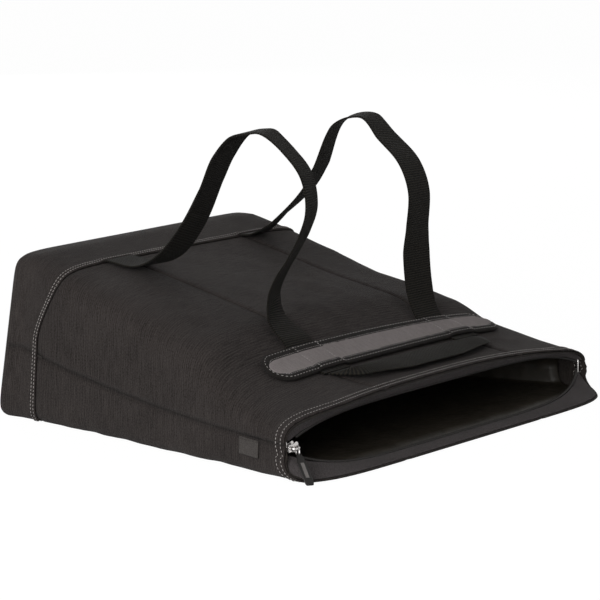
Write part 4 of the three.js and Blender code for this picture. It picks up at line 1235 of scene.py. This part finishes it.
def zipperStop(name, side):
    k = zipLook
    x = k["sliderStart"] + k["sliderLength"] / 2 if side < 0 else k["coilReach"] + 0.3
    bm = bmesh.new()
    bmesh.ops.create_cube(bm, size=1)
    tall = 2 * (k["meetGap"] + k["coilRadius"] + 0.15)
    bmesh.ops.scale(bm, verts=bm.verts, vec=(1.6, 2 * k["coilRadius"], tall))
    bmesh.ops.bevel(bm, geom=bm.edges[:], offset=0.35, segments=3, profile=0.5, affect="EDGES", material=-1)
    bmesh.ops.translate(bm, verts=bm.verts, vec=(side * (x + 0.3 + 0.8), sliderPlace.y, k["meetHeight"]))
    return finishPiece(name, bm, metal, "zipper_metal", [name])


zipperStop("near_zipper_stop", -1)
zipperStop("far_zipper_stop", 1)
print("slider, ring, puller and stops made")

# Folded blank tag in the near side seam
tagLook = {"length": 24, "drop": 15, "middleY": -138, "wall": 0.35, "stitched": 22}


def shareAtHeight(y, z):
    rows, measure = sectionAt(False, y)["rows"], sectionAt(False, y)["measure"]
    k = int(np.argmax(rows[:, 1] <= z))
    f = (z - rows[k - 1, 1]) / (rows[k, 1] - rows[k - 1, 1])
    return mix(measure[k - 1], measure[k], f) / measure[-1]


def sideTag():
    k = tagLook

    def place(u, v):
        y = k["middleY"] + k["length"] * (u - 0.5)
        fold = 1 - abs(2 * v - 1)
        z = outlineAt(y)["seam"] - 1 - k["drop"] * fold
        lift = 0.6 + 0.5 * ease(v, 0.42, 0.58) + 0.5 * fold**2 + 0.3 * math.sin(u * 5 + fold)
        return skinAt(False, shareAtHeight(y, z), y, lift)[0], (y, v * 2 * k["drop"])

    bm = cloak(place, 30, 30)
    return finishPiece("side_tag", bm, cloth["tagCloth"], "tag", ["side_tag"], wall=k["wall"], offset=0)


sideTag()


def tagPath(t):
    y = tagLook["middleY"] + tagLook["stitched"] * (t - 0.5)
    return skinAt(False, shareAtHeight(y, outlineAt(y)["seam"] - 2.4), y, 1.75)


stitchRow("side_tag_stitches", tagPath, darkThread, "tag", steps=20, pitch=2.4, length=1.8)


# A short bar of tight stitches where the side seam meets the boot
bartackLook = {"column": 0.004, "before": 9, "length": 7, "lift": 0.1}


def bartack(name, column):
    k = bartackLook
    edge = edgeOf(bootEdgeY, True, column)

    def path(t):
        p, normal, _ = onSkin(True, column, edge - k["before"] + k["length"] * t, k["lift"])
        return p, normal
    return stitchRow(name, path, darkThread, steps=10, pitch=0.8, length=0.9, width=2.6, height=0.9)


bartack("near_side_bartack", bartackLook["column"])
bartack("far_side_bartack", 3 - bartackLook["column"])

# Hidden stiffener inside the base
board = next(obj for obj in bpy.data.objects if obj.name == "base_board" or obj.get("node") == "base_board")
board.data.materials.clear()
board.data.materials.append(boardPlastic)
print("small pieces made")

# Floor, light and camera
stageLook = {
    "floor": 12, "floorZ": -0.0004, "floorTone": 0.9, "floorGlow": 0.93, "sky": 0.23, "white": 1.045,
    "lampAim": (0, 0, 0.06),
}


# White to the camera and in reflections, while the object's shadow still shows on it
def seenWhite(n, lit, share):
    path = n.add("LightPath").outputs
    seen = n.math("MAXIMUM", path["Is Camera Ray"], path["Is Glossy Ray"])
    seen = n.math("MAXIMUM", seen, path["Is Transmission Ray"])
    shine = {"Color": (1, 1, 1, 1), "Strength": stageLook["white"]}
    white = n.add("Emission" if share < 1 else "Background", shine).outputs[0]
    return n.add("MixShader", {0: n.math("MULTIPLY", seen, share), 1: lit, 2: white}).outputs[0]


def floorPiece():
    bm = bmesh.new()
    bmesh.ops.create_grid(bm, x_segments=1, y_segments=1, size=stageLook["floor"])
    mesh = meshFrom("floor", bm)
    floor = addObject("floor", mesh)
    floor.location.z = stageLook["floorZ"]
    n = Nodes("paleFloor")
    pale = stageLook["floorTone"]
    lit = n.add("BsdfDiffuse", {"Color": (pale, pale, pale, 1)}).outputs[0]
    shown = seenWhite(n, lit, stageLook["floorGlow"])
    n.tree.links.new(shown, n.add("OutputMaterial").inputs["Surface"])
    mesh.materials.append(n.material)


floorPiece()
world = bpy.data.worlds.new("studio")
bpy.context.scene.world = world
world.use_nodes = True
sky = Nodes.__new__(Nodes)
sky.tree = world.node_tree
sky.tree.nodes.clear()
dim = sky.add("Background", {"Color": (1, 1, 1, 1), "Strength": stageLook["sky"]}).outputs[0]
sky.tree.links.new(seenWhite(sky, dim, 1), sky.add("OutputWorld").inputs["Surface"])

# Lamps: place, what they point at, size and power
lamps = {
    "keyLamp": {"place": (-2.65, -0.8, 0.85), "size": 1.5, "power": 70},
    "topLamp": {"place": (-0.6, -0.6, 2.6), "size": 1.4, "power": 2},
    "backLamp": {"place": (1.7, 2.3, 0.7), "size": 1.4, "power": 18},
}
for name, k in lamps.items():
    light = bpy.data.lights.new(name, "AREA")
    light.shape = "DISK"
    light.size = k["size"]
    light.energy = k["power"]
    lamp = addObject(name, light)
    lamp.location = k["place"]
    away = Vector(k["place"]) - Vector(stageLook["lampAim"])
    lamp.rotation_euler = away.to_track_quat("Z", "Y").to_euler()

cameraLook = {
    "place": (-2.5427, -1.8710, 0.6376), "azimuth": -54, "elevation": 9.6, "lens": 210.16, "sensor": 36,
}
azimuth, elevation = math.radians(cameraLook["azimuth"]), math.radians(cameraLook["elevation"])
flat = math.cos(elevation)
back = Vector((math.sin(azimuth) * flat, -math.cos(azimuth) * flat, math.sin(elevation)))
right = Vector((math.cos(azimuth), math.sin(azimuth), 0))
facing = turnOnto(right, back.cross(right), back)
camera = addObject("camera", bpy.data.cameras.new("camera"))
camera.data.lens = cameraLook["lens"]
camera.data.sensor_width = cameraLook["sensor"]
camera.matrix_world = Matrix.Translation(cameraLook["place"]) @ facing
bpy.context.scene.camera = camera
bpy.context.scene.view_settings.view_transform = "Standard"
print("stage set")
